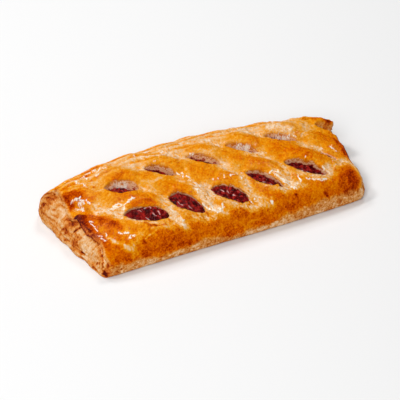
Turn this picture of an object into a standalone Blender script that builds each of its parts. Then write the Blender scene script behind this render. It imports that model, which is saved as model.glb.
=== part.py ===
"""Berry strudel: a folded pastry sheet round a berry filling, with two rows of slanting slits over it.

The pastry lies along X with its folded side at -Y, its seam side at +Y, and its flat bottom at z = 0.
Lengths in this file are millimetres; the finished meshes are scaled to metres at the end.
"""

import bmesh
import bpy
import numpy as np
from mathutils import Matrix

MM = 0.001

# Footprint, measured from the sharp corner that the folded side and the left end would make.
LENGTH = 139.6
SEAM_SIDE_WIDTH = 57.0
SEAM_SIDE_BULGE = 6.2
SEAM_SIDE_RIGHT_DRAW_IN = 4.5
CORNER_RADIUS = 9.0
LEFT_END_SLANT = 5.2
RIGHT_END_SLANT = 0.10
CENTRE_X = 69.8
CENTRE_Y = 31.9

# Height of the dome, low along the fold and high along the seam side.
FOLD_HEIGHT = 14.2
SEAM_RISE = 10.0
LEFT_END_HEIGHT = 0.60
RIGHT_END_HEIGHT = 0.66
FOLD_SHOULDER = 11.0
SEAM_SHOULDER = 15.0

# End faces, where the top sheet stops short of the bottom sheet.
END_INSET = 6.6
END_OVERHANG = 0.12
SEAM_LEDGE = 0.8
BOTTOM_SHEET = 2.6
SHEET_STEP = 0.9
RIGHT_END_INSET = 3.2

# Slits: centre x, centre y, turn in degrees, length, opening, depth.
FRONT_SLITS = (
    (31.3, 16.0, -23.0, 21.3, 8.8, 30.0),
    (51.8, 15.2, -51.0, 18.8, 9.4, 30.0),
    (73.4, 13.6, -43.0, 19.0, 9.0, 30.0),
    (93.0, 15.6, -48.0, 20.6, 6.8, 30.0),
    (115.0, 15.5, -40.0, 22.0, 7.6, 30.0),
    (129.4, 19.7, -48.0, 9.0, 1.8, 2.6),
)
BACK_SLITS = (
    (2.3, 38.3, -56.0, 25.0, 8.0, 3.2),
    (27.6, 34.9, -24.0, 16.6, 8.8, 30.0),
    (48.9, 37.6, -38.0, 16.4, 5.4, 30.0),
    (71.0, 36.7, -37.0, 17.4, 4.9, 30.0),
    (91.8, 36.8, -37.0, 16.8, 4.3, 30.0),
    (112.3, 36.1, -32.0, 17.0, 4.6, 30.0),
    (141.8, 37.0, -20.0, 19.0, 6.4, 7.0),
)
CLOSED_SLITS = (
    (12.0, 9.0, -50.0, 9.5, 1.2, 1.1),
    (11.6, 44.5, -38.0, 16.0, 1.2, 1.0),
)
FIRST_LATTICE_LINE = 50.4
LATTICE_PITCH = 20.95
STRAND_PUFF = 0.5
LIP_HEIGHT = 0.55
BROW_HEIGHT = 0.85
VALLEY_DEPTH = 0.75

# Hollow for the filling, and the clearance the filling keeps inside it.
HOLLOW_LEFT = 13.5
HOLLOW_RIGHT = 128.5
HOLLOW_FRONT = 6.5
HOLLOW_BACK = 50.5
HOLLOW_BOTTOM = 3.2
FRONT_SHEET_THICKNESS = 2.1
BACK_SHEET_THICKNESS = 3.8
FRONT_BERRY_RISE = 2.3
BACK_BERRY_RISE = 0.6
CLEARANCE = 0.3
BERRY_RELIEF = 0.3

# How finely the two blocks are sliced before they are shaped.
PASTRY_CELLS = (72, 31, 6)
FILLING_CELLS = (46, 18, 2)
SLIT_SIDES = 20


def smooth(low, high, value):
    """Smooth step from 0 at low to 1 at high."""
    t = np.clip((value - low) / (high - low), 0.0, 1.0)
    return t * t * (3.0 - 2.0 * t)


def hump(centre, width, value):
    """Bell curve of height 1."""
    return np.exp(-(((value - centre) / width) ** 2))


def quarter_round(reach):
    """How far a rounded corner draws in at a given reach along it."""
    t = np.clip(reach / CORNER_RADIUS, 0.0, 1.0)
    return CORNER_RADIUS * (1.0 - np.sqrt(1.0 - t * t))


def fold_side(x):
    """Y of the folded side, drawn in at both corners and bowed out a little past the middle."""
    left = quarter_round(CORNER_RADIUS - x)
    right = quarter_round(x - (LENGTH - CORNER_RADIUS + 0.4))
    return 0.27 * left + 0.23 * right - 0.7 * hump(95.0, 26.0, x)


def seam_side(x):
    """Y of the seam side, a long shallow arc."""
    s = np.clip((x + 8.0) / 152.0, 0.0, 1.0)
    arc = SEAM_SIDE_BULGE * np.sin(np.pi * s**0.8)
    return SEAM_SIDE_WIDTH + arc - SEAM_SIDE_RIGHT_DRAW_IN * smooth(0.5, 1.0, s)


def left_edge(y):
    """X of the bottom sheet's edge at the left end."""
    slant = -LEFT_END_SLANT * smooth(3.0, 36.0, y)
    corner = 0.5 * quarter_round(CORNER_RADIUS - 1.6 * y)
    waves = 1.1 * hump(31.0, 5.0, y) + 0.6 * hump(18.0, 6.0, y) - 1.2 * hump(52.0, 6.0, y)
    return 0.9 + slant + corner + waves


def right_edge(y):
    """X of the bottom sheet's edge at the right end."""
    corner = 0.4 * quarter_round(CORNER_RADIUS - 1.6 * y)
    return LENGTH + RIGHT_END_SLANT * y - corner + 1.0 * hump(44.0, 6.0, y)


def end_rise(z, height):
    """Share of an end's inset at height z: the bottom sheet's step, a slope, then the top sheet's edge."""
    step = SHEET_STEP / END_INSET * smooth(BOTTOM_SHEET - 0.4, BOTTOM_SHEET + 0.4, z)
    t = np.clip((z - BOTTOM_SHEET) / np.maximum(height - BOTTOM_SHEET, 1.0), 0.0, 1.0)
    return step + (1.0 - SHEET_STEP / END_INSET) * t**1.5 + END_OVERHANG * hump(0.72, 0.14, t)


def left_end(y, z, height):
    """X of the left end face at height z, under a top sheet whose edge is at the given height."""
    near = -3.0 * smooth(14.0, 0.0, y)
    far = 1.0 * hump(50.0, 5.0, y) - 6.2 * smooth(51.0, 57.0, y)
    return left_edge(y) + (END_INSET + near + far) * end_rise(z, height)


def right_end(y, z, height):
    """X of the right end face at height z."""
    inset = RIGHT_END_INSET - 1.2 * smooth(16.0, 6.0, y) - 1.6 * smooth(36.0, 41.0, y)
    return right_edge(y) - inset * end_rise(z, height)


def shoulder(distance, width, power, root):
    """Profile of a rounded shoulder, 0 at the side and 1 past its width."""
    t = 1.0 - np.clip(distance / width, 0.0, 1.0)
    return np.clip(1.0 - t**power, 0.0, 1.0) ** (1.0 / root)


def dome(x, y):
    """Height of the smooth dome at a place in plan."""
    height = FOLD_HEIGHT + SEAM_RISE * smooth(-6.0, 50.0, y)
    left_height = LEFT_END_HEIGHT + 0.17 * smooth(44.0, 56.0, y)
    left = left_height + (1.0 - left_height) * smooth(-16.0, 32.0, x)
    right_height = RIGHT_END_HEIGHT + 0.06 * smooth(35.0, 40.0, y)
    right = right_height + (1.0 - right_height) * smooth(165.0, 112.0, x)
    near = shoulder(y - fold_side(x), FOLD_SHOULDER, 2.5, 2.7)
    far = shoulder(seam_side(x) - y, SEAM_SHOULDER, 2.4, 2.5)
    return height * left * right * near * far


def along_and_across(slit, x, y):
    """Place seen along a slit and across it, the far side positive."""
    turn = np.radians(slit[2])
    dx = x - slit[0]
    dy = y - slit[1]
    return dx * np.cos(turn) + dy * np.sin(turn), dy * np.cos(turn) - dx * np.sin(turn)


def half_opening(slit, along):
    """Half of a slit's opening at a place along it."""
    t = np.clip(1.0 - (2.0 * along / slit[3]) ** 2, 0.0, 1.0)
    return 0.5 * slit[4] * t**0.8


def slit_relief(slit, x, y):
    """Raised lips round a slit, a brow behind it and a dip past its tips."""
    along, across = along_and_across(slit, x, y)
    half = 0.5 * slit[3]
    share = np.exp(-((along / (0.85 * half)) ** 4))
    open_share = min(1.0, slit[4] / 5.0)
    edge = half_opening(slit, along)
    lips = LIP_HEIGHT * hump(edge + 1.6, 1.5, np.abs(across))
    brow = BROW_HEIGHT * hump(edge + 4.2, 2.6, across)
    dips = VALLEY_DEPTH * hump(half + 1.8, 2.6, np.abs(along)) * hump(0.0, 3.2, across)
    return open_share * share * (lips + brow) - (0.4 + 0.6 * open_share) * dips


def puffs(x, y):
    """Soft pillows between the slanting lattice lines of the slits, over the fold and along the seam."""
    line = (x + 1.19 * y - FIRST_LATTICE_LINE) / LATTICE_PITCH
    waves = -STRAND_PUFF * np.cos(2.0 * np.pi * line)
    side = 0.45 * np.sin(2.0 * np.pi * (x - 8.0) / 27.0) * hump(3.0, 7.0, y)
    seam = 0.3 * np.sin(2.0 * np.pi * (x + 0.6 * y) / 17.0) * smooth(42.0, 50.0, y)
    return (waves * smooth(2.0, 12.0, y) * smooth(58.0, 46.0, y) + side + seam) * smooth(-6.0, 12.0, x)


def top(x, y):
    """Height of the baked surface at a place in plan."""
    relief = puffs(x, y)
    for slit in FRONT_SLITS + BACK_SLITS:
        relief = relief + slit_relief(slit, x, y)
    held = smooth(0.0, 5.0, y - fold_side(x)) * smooth(0.0, 5.0, seam_side(x) - y)
    return dome(x, y) + relief * held


def hollow_top(x, y):
    """Height of the hollow's roof, which swells up under each open slit."""
    sheet = FRONT_SHEET_THICKNESS + (BACK_SHEET_THICKNESS - FRONT_SHEET_THICKNESS) * smooth(18.0, 30.0, y)
    roof = dome(x, y) - sheet
    for slits, rise in ((FRONT_SLITS[:5], FRONT_BERRY_RISE), (BACK_SLITS[1:6], BACK_BERRY_RISE)):
        for slit in slits:
            along, across = along_and_across(slit, x, y)
            roof = roof + rise * hump(0.0, 0.45 * slit[3], along) * hump(0.0, 0.62 * slit[4], across)
    return roof


def berries(x, y):
    """Small bumps of fruit on top of the filling, never above zero."""
    first = np.sin(1.31 * x + 0.4 * y) * np.sin(1.13 * y + 0.7)
    second = np.sin(0.83 * x - 1.07 * y + 2.0)
    return BERRY_RELIEF * (0.5 * first + 0.5 * second - 1.0)


def sliced_block(cells):
    """A unit block sliced at regular steps along each of its three directions."""
    mesh = bmesh.new()
    bmesh.ops.create_cube(mesh, size=1.0, matrix=Matrix.Translation((0.5, 0.5, 0.5)))
    for axis, count in enumerate(cells):
        normal = [0.0, 0.0, 0.0]
        normal[axis] = 1.0
        for step in range(1, count):
            place = [0.0, 0.0, 0.0]
            place[axis] = step / count
            parts = mesh.verts[:] + mesh.edges[:] + mesh.faces[:]
            bmesh.ops.bisect_plane(mesh, geom=parts, plane_co=place, plane_no=normal)
    return mesh


def corners(mesh):
    """The corner points of a bmesh as an array."""
    return np.array([corner.co[:] for corner in mesh.verts])


def place_corners(mesh, x, y, z):
    """Move the corners to the given millimetre places, in metres about the middle of the footprint."""
    for corner, px, py, pz in zip(mesh.verts, x, y, z):
        corner.co = ((px - CENTRE_X) * MM, (py - CENTRE_Y) * MM, pz * MM)


def finish(mesh, name, collection, flat_bottom=True):
    """Turn a bmesh into a named object in a collection, its flat bottom made one face."""
    if flat_bottom:
        flat = [edge for edge in mesh.edges if max(abs(end.co.z) for end in edge.verts) < 1e-7]
        inner = [edge for edge in flat if all(abs(face.normal.z) > 0.999 for face in edge.link_faces)]
        bmesh.ops.dissolve_edges(mesh, edges=inner, use_verts=True)
    bmesh.ops.recalc_face_normals(mesh, faces=mesh.faces[:])
    data = bpy.data.meshes.new(name)
    mesh.to_mesh(data)
    mesh.free()
    made = bpy.data.objects.new(name, data)
    collection.objects.link(made)
    return made


def material(name, colour, roughness):
    """A plain Principled material."""
    made = bpy.data.materials.new(name)
    made.use_nodes = True
    shader = made.node_tree.nodes["Principled BSDF"]
    shader.inputs["Base Color"].default_value = (*colour, 1.0)
    shader.inputs["Roughness"].default_value = roughness
    return made


def pastry_block(collection):
    """The whole folded pastry before it is hollowed and slit."""
    mesh = sliced_block(PASTRY_CELLS)
    unit = corners(mesh)
    u, v, w = unit[:, 0], unit[:, 1], unit[:, 2]
    # The rows crowd towards both sides, where the shoulders are rounded.
    share = v - 0.09 * np.sin(2.0 * np.pi * v)
    x = LENGTH * u
    for _ in range(4):
        front = fold_side(x) + 0.5
        back = seam_side(x) - 0.6
        y = front + (back - front) * share
        height = top(x, y)
        edge_left = left_end(y, w * height, height)
        edge_right = right_end(y, w * height, height)
        x = edge_left + (edge_right - edge_left) * u
    z = w * height
    # Both sides stand upright and swell a little; the bottom sheet juts out along the seam.
    swell = 0.5 * np.sin(np.pi * w**0.7)
    ledge = SEAM_LEDGE * smooth(BOTTOM_SHEET + 1.6, BOTTOM_SHEET + 0.4, z)
    y = np.where(v < 1e-6, y - swell, y)
    y = np.where(v > 1.0 - 1e-6, y + swell + ledge, y)
    place_corners(mesh, x, y, z)
    return finish(mesh, "crust", collection)


def filling_block(name, collection, gap, cells):
    """The hollow when gap is 0, or the filling kept clear of its walls by the gap."""
    mesh = sliced_block(cells)
    unit = corners(mesh)
    x = HOLLOW_LEFT + gap + (HOLLOW_RIGHT - HOLLOW_LEFT - 2.0 * gap) * unit[:, 0]
    y = HOLLOW_FRONT + gap + (HOLLOW_BACK - HOLLOW_FRONT - 2.0 * gap) * unit[:, 1]
    roof = hollow_top(x, y) - 1.6 * gap
    if gap > 0.0:
        roof = roof + berries(x, y)
    floor = HOLLOW_BOTTOM + gap
    z = floor + (roof - floor) * unit[:, 2]
    place_corners(mesh, x, y, z)
    return finish(mesh, name, collection, flat_bottom=False)


def slit_cutter(index, slit, collection):
    """A lens-shaped plug that opens one slit, narrower at its foot."""
    mesh = bmesh.new()
    bmesh.ops.create_cone(mesh, cap_ends=True, segments=SLIT_SIDES, radius1=1.0, radius2=1.0, depth=1.0)
    unit = corners(mesh)
    angle = np.arctan2(unit[:, 1], unit[:, 0])
    along = 0.5 * slit[3] * np.cos(angle)
    lens = 0.5 * slit[4] * np.sign(np.sin(angle)) * np.abs(np.sin(angle)) ** 1.25
    narrow = np.where(unit[:, 2] < 0.0, 0.8, 1.0)
    turn = np.radians(slit[2])
    x = slit[0] + narrow * (along * np.cos(turn) - lens * np.sin(turn))
    y = slit[1] + narrow * (along * np.sin(turn) + lens * np.cos(turn))
    surface = float(top(np.array(slit[0]), np.array(slit[1])))
    foot = max(surface - slit[5], 7.0)
    z = np.where(unit[:, 2] < 0.0, foot, 34.0)
    place_corners(mesh, x, y, z)
    return finish(mesh, f"slit_cutter_{index}", collection, flat_bottom=False)


def cut(target, cutter):
    """Subtract one object from another."""
    modifier = target.modifiers.new(f"cut {cutter.name}", "BOOLEAN")
    modifier.operation = "DIFFERENCE"
    modifier.solver = "EXACT"
    modifier.object = cutter


def clear_scene():
    """Remove whatever the scene starts with."""
    for thing in list(bpy.data.objects):
        bpy.data.objects.remove(thing, do_unlink=True)


def main():
    """Build the crust and the filling."""
    clear_scene()
    strudel = bpy.data.collections.new("berry strudel")
    cutters = bpy.data.collections.new("cutters")
    bpy.context.scene.collection.children.link(strudel)
    bpy.context.scene.collection.children.link(cutters)

    crust = pastry_block(strudel)
    crust.data.materials.append(material("baked crust", (0.60, 0.30, 0.06), 0.45))
    filling = filling_block("filling", strudel, CLEARANCE, FILLING_CELLS)
    filling.data.materials.append(material("berry filling", (0.13, 0.015, 0.012), 0.25))

    hollow = filling_block("hollow_cutter", cutters, 0.0, FILLING_CELLS)
    cut(crust, hollow)
    for index, slit in enumerate(FRONT_SLITS + BACK_SLITS + CLOSED_SLITS):
        cut(crust, slit_cutter(index, slit, cutters))
    for cutter in cutters.objects:
        cutter.hide_render = True
        cutter.display_type = "WIRE"


main()
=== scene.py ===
"""Berry strudel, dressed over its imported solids.

A sheet of puff pastry is folded over a berry filling, slit in two slanting rows, glazed and baked.
Shapes are worked out in millimetres from the sharp corner that the fold and the left end would make,
and go into the meshes in metres, in the frame's own place.
"""

import logging
import math
from dataclasses import dataclass
from enum import Enum

import bpy
import numpy as np
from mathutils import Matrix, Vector


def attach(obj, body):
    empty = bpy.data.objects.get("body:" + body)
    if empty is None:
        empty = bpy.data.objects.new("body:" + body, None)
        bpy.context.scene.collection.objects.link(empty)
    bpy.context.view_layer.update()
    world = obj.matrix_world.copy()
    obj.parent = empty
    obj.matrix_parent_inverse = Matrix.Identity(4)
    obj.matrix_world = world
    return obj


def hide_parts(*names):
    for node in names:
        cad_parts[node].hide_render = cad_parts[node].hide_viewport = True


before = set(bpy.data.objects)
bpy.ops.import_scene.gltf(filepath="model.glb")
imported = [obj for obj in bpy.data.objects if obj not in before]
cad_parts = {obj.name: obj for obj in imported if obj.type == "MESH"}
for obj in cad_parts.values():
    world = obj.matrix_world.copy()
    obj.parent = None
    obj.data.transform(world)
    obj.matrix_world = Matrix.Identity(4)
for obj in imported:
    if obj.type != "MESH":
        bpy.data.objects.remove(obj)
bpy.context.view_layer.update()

MM = 0.001
ROOT_TWO = 1.414
# The frame's origin in the pastry's own millimetres.
CENTRE = (69.8, 31.9)
BODY = "root"
LOG = logging.getLogger("berry_strudel")

Array = np.ndarray
Marks = dict[str, Array]
Place = tuple[float, float]
Colour = tuple[float, float, float, float]


def unit(value: Array) -> Array:
    """The value, kept from 0 to 1."""
    return np.clip(value, 0.0, 1.0)


def smooth(low: float, high: float, value: Array) -> Array:
    """Smooth step: 3t^2 - 2t^3 of the share t of the way from low to high.

    Args:
        low: Where the step starts.
        high: Where the step ends; it may be below low.
        value: Places to evaluate.

    Returns:
        Values from 0 to 1.
    """
    share = unit((value - low) / (high - low))
    return share * share * (3.0 - 2.0 * share)


def hump(centre: Array, width: float, value: Array) -> Array:
    """Bell curve of height 1: e to the power of minus the squared offset in widths."""
    return np.exp(-(((value - centre) / width) ** 2))


def mix(first: Array, second: Array, share: Array) -> Array:
    """Blend of two values: the first where the share is 0, the second where it is 1."""
    return first * (1.0 - share) + second * share


def diagonal(x: Array, y: Array) -> tuple[Array, Array]:
    """The same places measured along and across a line at 45 degrees."""
    return (x - y) / ROOT_TWO, (x + y) / ROOT_TWO


def blank(x: Array, y: Array) -> Array:
    """Zeros in the shape that x and y make together."""
    return np.zeros(np.broadcast_shapes(np.shape(x), np.shape(y)))


def segment_distance(start: Place, end: Place, x: Array, y: Array) -> Array:
    """Distance in plan to a straight segment, by clamping the nearest point between its ends.

    Args:
        start: First end of the segment.
        end: Second end of the segment.
        x: Places along the pastry.
        y: Places across it.

    Returns:
        Distances in millimetres.
    """
    run = (end[0] - start[0], end[1] - start[1])
    share = ((x - start[0]) * run[0] + (y - start[1]) * run[1]) / (run[0] ** 2 + run[1] ** 2)
    share = unit(share)
    return np.hypot(x - start[0] - share * run[0], y - start[1] - share * run[1])


@dataclass(frozen=True)
class Stroke:
    """A soft brushed mark from one place to another, fading off as a bell curve of its width."""

    start: Place
    end: Place
    width: float
    strength: float

    def weight(self, x: Array, y: Array, spread: Array) -> Array:
        """Strength of the mark at each place, its width times the given spread."""
        away = segment_distance(self.start, self.end, x, y)
        return self.strength * hump(0.0, self.width * spread, away)


def strokes(*rows: tuple[float, ...]) -> tuple[Stroke, ...]:
    """Strokes from rows of a start and, for each stroke on from it, its end, width and strength."""
    made = []
    for row in rows:
        start = row[:2]
        for step in range(2, len(row), 4):
            end = row[step : step + 2]
            made.append(Stroke(start, end, row[step + 2], row[step + 3]))
            start = end
    return tuple(made)


def dashes(width: float, *rows: tuple[float, ...]) -> tuple[Stroke, ...]:
    """Strokes of one width and full strength, from rows of both ends' coordinates."""
    return strokes(*(row + (width, 1.0) for row in rows))


def strongest(marks: tuple[Stroke, ...], x: Array, y: Array, spread: Array) -> Array:
    """The greatest weight of any stroke at each place."""
    best = blank(x, y)
    for stroke in marks:
        best = np.maximum(best, stroke.weight(x, y, spread))
    return best


def summed(marks: tuple[Stroke, ...], x: Array, y: Array, spread: Array) -> Array:
    """All the strokes' weights added up at each place."""
    return sum((stroke.weight(x, y, spread) for stroke in marks), blank(x, y))


def raise_mark(marks: Marks, name: str, values: Array) -> None:
    """Bring a named mark up to at least the given values."""
    marks[name] = np.maximum(marks[name], values)


def linear(red: int, green: int, blue: int) -> Colour:
    """A display colour given in 0 to 255 as the scene-linear colour a shader takes."""
    shares = [channel / 255.0 for channel in (red, green, blue)]
    parts = [share / 12.92 if share <= 0.04045 else ((share + 0.055) / 1.055) ** 2.4 for share in shares]
    return (parts[0], parts[1], parts[2], 1.0)


def stops(*rows: tuple[float, int, int, int]) -> tuple[tuple[float, Colour], ...]:
    """A colour ramp's stops from rows of a place and a display colour."""
    return tuple((row[0], linear(*row[1:])) for row in rows)


@dataclass(frozen=True)
class Grain:
    """Repeatable random relief for dough and fruit, hashed from whole-number lattice places."""

    seed: int

    def lattice(self, i: Array, j: Array) -> Array:
        """Random number from 0 to 1 for each lattice place.

        Args:
            i: First whole-number coordinate.
            j: Second whole-number coordinate.

        Returns:
            One value for each place, by mixing the bits of i, j and the seed.
        """
        mask = np.uint64(0xFFFFFFFF)
        mixed = i.astype(np.int64).astype(np.uint64) * np.uint64(374761393)
        mixed = mixed + j.astype(np.int64).astype(np.uint64) * np.uint64(668265263)
        mixed = (mixed + np.uint64(self.seed) * np.uint64(2246822519)) & mask
        mixed = ((mixed ^ (mixed >> np.uint64(13))) * np.uint64(1274126177)) & mask
        mixed = ((mixed ^ (mixed >> np.uint64(15))) * np.uint64(2654435761)) & mask
        return (mixed ^ (mixed >> np.uint64(16))).astype(np.float64) / float(0xFFFFFFFF)

    def soft(self, x: Array, y: Array) -> Array:
        """Value noise from -1 to 1: lattice numbers blended by a quintic between neighbours."""
        i, j = np.floor(x), np.floor(y)
        u, v = x - i, y - j
        u = u * u * u * (u * (6.0 * u - 15.0) + 10.0)
        v = v * v * v * (v * (6.0 * v - 15.0) + 10.0)
        near = mix(self.lattice(i, j), self.lattice(i + 1, j), u)
        far = mix(self.lattice(i, j + 1), self.lattice(i + 1, j + 1), u)
        return 2.0 * mix(near, far, v) - 1.0

    def layered(self, x: Array, y: Array, size: float, layers: int = 3) -> Array:
        """Layers of value noise, each half as strong and about twice as fine as the last.

        Args:
            x: Places along the pastry.
            y: Places across it.
            size: Size of the coarsest layer's bumps.
            layers: How many layers are summed.

        Returns:
            Values from about -1 to 1.
        """
        total = blank(x, y)
        for layer in range(layers):
            scale = size / 2.03**layer
            total += 0.5**layer * self.soft(x / scale + 17.3 * layer, y / scale - 9.1 * layer)
        return total / (2.0 - 0.5 ** (layers - 1))

    def cells(self, x: Array, y: Array, size: float) -> tuple[Array, Array, Array]:
        """Distance to the nearest and second nearest of points scattered one to a lattice square.

        Args:
            x: Places along the pastry.
            y: Places across it.
            size: Mean spacing of the points.

        Returns:
            Nearest distance, second distance (both in spacings) and the nearest point's own random number.
        """
        gx, gy = x / size, y / size
        i, j = np.floor(gx), np.floor(gy)
        first = np.full(np.shape(gx), 9.0)
        second = np.full(np.shape(gx), 9.0)
        own = np.zeros(np.shape(gx))
        for di in (-1, 0, 1):
            for dj in (-1, 0, 1):
                px = i + di + 0.15 + 0.7 * self.lattice(i + di, j + dj)
                py = j + dj + 0.15 + 0.7 * self.lattice(i + di + 101, j + dj + 57)
                away = np.hypot(gx - px, gy - py)
                closer = away < first
                second = np.where(closer, first, np.minimum(second, away))
                own = np.where(closer, self.lattice(i + di + 31, j + dj + 77), own)
                first = np.where(closer, away, first)
        return first, second, own


class SlitKind(Enum):
    """How a slit opened in the oven: as a window, out through an end of the pastry, or hardly at all."""

    OPEN = "open"
    END = "end"
    CLOSED = "closed"


@dataclass(frozen=True)
class Slit:
    """One cut through the top sheet, a lens in plan.

    The sizes are its centre, its turn in degrees, its length and opening, how far the berries lie under
    its near and far lips, how much blunter its upper left end is than its tail, the power that makes
    its tips sharp or round, how far the juice stained its wall, a nick where the near lip folds in, how
    much deeper the berries lie towards the tail, and how much painted glaze highlight its wall keeps.
    """

    x: float
    y: float
    turn: float
    length: float
    opening: float
    near_depth: float
    far_depth: float
    blunt: float = 0.15
    power: float = 0.75
    kind: SlitKind = SlitKind.OPEN
    stain: float = 0.0
    nick: float = 0.0
    nick_reach: float = 0.0
    lean: float = 0.0
    wall_highlight: float = 0.0

    @property
    def facing(self) -> tuple[float, float]:
        """Cosine and sine of its turn."""
        return math.cos(math.radians(self.turn)), math.sin(math.radians(self.turn))

    @property
    def at_right(self) -> bool:
        """Whether it lies in the right part of the pastry."""
        return self.x > 100.0

    def place(self, x: Array, y: Array) -> tuple[Array, Array]:
        """Place along the slit (lower right positive) and across it (far side positive)."""
        cos, sin = self.facing
        dx, dy = x - self.x, y - self.y
        return dx * cos + dy * sin, dy * cos - dx * sin

    def shift(self, along: Array, across: Array) -> tuple[Array, Array]:
        """A move along and across the slit as a move in plan."""
        cos, sin = self.facing
        return along * cos - across * sin, along * sin + across * cos

    def run(self, along: Array) -> Array:
        """Share of the way from the middle to a tip: -1 at the upper left one, 1 at the lower right."""
        return np.clip(2.0 * along / self.length, -1.0, 1.0)

    def half_opening(self, along: Array) -> Array:
        """Half the opening: (1 - t^2)^power of the half width, leaned towards the blunt end."""
        t = self.run(along)
        return 0.5 * self.opening * (1.0 - t * t) ** self.power * (1.0 - self.blunt * t)

    def sink(self, along: Array) -> Array:
        """How many times the set depths the berries lie down, more towards the tail."""
        return 1.0 + self.lean * self.run(along)


FRONT_SLITS = (
    Slit(31.3, 16.0, -23.0, 21.3, 9.2, 0.3, 1.3, 0.0, 0.62, stain=0.5, nick=0.4, nick_reach=1.2, lean=-0.25),
    Slit(51.8, 15.2, -51.0, 18.8, 9.6, 0.4, 1.3, 0.10, 0.60, stain=0.6),
    Slit(73.4, 13.6, -43.0, 19.0, 9.2, 0.4, 1.3, -0.05, 0.62, stain=0.6),
    Slit(93.0, 15.6, -48.0, 20.6, 6.8, 0.9, 2.4, 0.2, stain=0.30, nick=6.6, nick_reach=2.4),
    Slit(115.0, 15.5, -40.0, 22.0, 7.8, 0.9, 3.0, 0.1, stain=0.25),
    Slit(129.4, 19.7, -48.0, 9.0, 1.8, 2.2, 2.2, 0.3, kind=SlitKind.CLOSED, stain=0.8),
)
BACK_SLITS = (
    Slit(2.3, 38.3, -56.0, 25.0, 8.0, 2.6, 2.6, 0.0, kind=SlitKind.END),
    Slit(27.6, 34.9, -24.0, 16.6, 9.2, 3.3, 5.0, 0.1, lean=0.30, wall_highlight=1.0),
    Slit(48.9, 37.6, -38.0, 16.4, 5.6, 1.9, 4.0, 0.15, stain=0.22, lean=0.45, wall_highlight=0.2),
    Slit(71.0, 36.7, -37.0, 17.4, 5.0, 1.7, 4.0, 0.15, lean=-0.10),
    Slit(91.8, 36.8, -37.0, 16.8, 4.3, 2.4, 4.6, 0.2, wall_highlight=0.75),
    Slit(112.3, 36.1, -32.0, 17.0, 4.7, 2.0, 4.2, 0.2, lean=-0.10, wall_highlight=0.7),
    Slit(141.8, 37.0, -20.0, 19.0, 6.4, 6.0, 6.0, 0.0, kind=SlitKind.END),
)
CLOSED_SLITS = (
    Slit(12.0, 9.0, -50.0, 9.5, 1.2, 1.0, 1.0, 0.0, kind=SlitKind.CLOSED),
    Slit(11.6, 44.5, -38.0, 16.0, 1.2, 0.8, 0.8, 0.0, kind=SlitKind.CLOSED),
)
ALL_SLITS = FRONT_SLITS + BACK_SLITS + CLOSED_SLITS
OPEN_SLITS = tuple(slit for slit in ALL_SLITS if slit.kind is SlitKind.OPEN)

# Marks, listed one by one. A row of strokes holds a start in millimetres and, for each stroke on from it,
# its end, its width and its strength. A row of dashes holds only both ends of one stroke.
# On the top the places are x and y, on the folded side x and z, and on the end faces y and z.
HIGHLIGHT_FLECK_WIDTH = 0.32
JUICE_HIGHLIGHT_WIDTH = 0.26

PALE_STRETCHES = strokes(
    (12, 32, 12.5, 28, 2.2, 0.55, 20.5, 21, 2.6, 0.95), (22.5, 16.5, 27, 11.5, 1.3, 0.65, 35, 7.5, 1, 0.6,
     41, 6, 1.3, 0.6), (41.5, 19.5, 42.8, 8, 2.4, 0.9, 45.5, 4.5, 1.9, 0.75), (46, 12, 51, 6.8, 1.1, 0.45,
     60, 4.6, 1.6, 0.7), (39, 30, 43, 21, 1.4, 0.45), (54.5, 30, 60, 21, 1.4, 0.55, 61.5, 9, 2.3, 1),
    (64.5, 21, 64.5, 15, 2.2, 1), (61.5, 9, 66.5, 4.5, 1.9, 0.8), (66.5, 12, 71.5, 6.5, 1.1, 0.6,
     81, 4, 1.7, 0.75), (76.5, 30, 83, 21, 1.5, 0.65, 82.5, 9, 2, 0.7, 88, 2.5, 2.4, 0.7),
    (88, 14, 94, 8, 1.1, 0.55), (98.5, 30, 104.5, 21, 1.4, 0.45, 104, 9, 1.7, 0.66),
    (99.5, 17, 103, 10, 1.4, 0.95), (98, 7, 104, 8.5, 1.6, 0.85), (104, 9, 110, 3.5, 2, 0.5),
    (109, 13, 115, 8, 1.1, 0.55, 122, 7.5, 1.3, 0.8), (122, 9.5, 125.5, 12, 1.8, 0.95),
    (119, 30, 127, 24, 1.6, 0.6), (129, 18.5, 131, 15.5, 1, 0.6), (125.5, 11.4, 134, 13.4, 1.2, 0.75),
    (134, 14.5, 138.5, 15.5, 1.6, 0.9), (20, 40, 13, 48, 1.5, 0.35), (19, 38, 12, 38, 1.4, 0.3),
    (41.5, 42, 36, 46, 2.2, 0.75), (62.5, 42, 57, 46.5, 2.6, 0.8), (82.5, 42.5, 77, 47, 2.4, 0.75),
    (104, 41.5, 98, 46.5, 2.4, 0.75), (118, 38, 110, 44, 2.6, 0.8), (34.5, 31.5, 38, 29, 1.6, 0.6),
    (123, 34, 128, 40, 1.6, 0.45), (30, 50.5, 54, 46, 1, 0.75), (12, 47, 30, 50.5, 1, 0.6),
    (92.5, 33, 98.5, 30, 1.9, 0.9), (75.5, 33, 79.5, 29.5, 1.6, 0.8), (66, 50, 76, 48, 1.6, 0.7),
    (71, 40.5, 76, 38, 1.8, 0.35), (108, 50, 126, 48, 2.4, 0.35), (54, 50, 80, 48.5, 1.2, 0.7),
    (84, 49.5, 112, 46, 1.3, 0.75),
)
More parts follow.
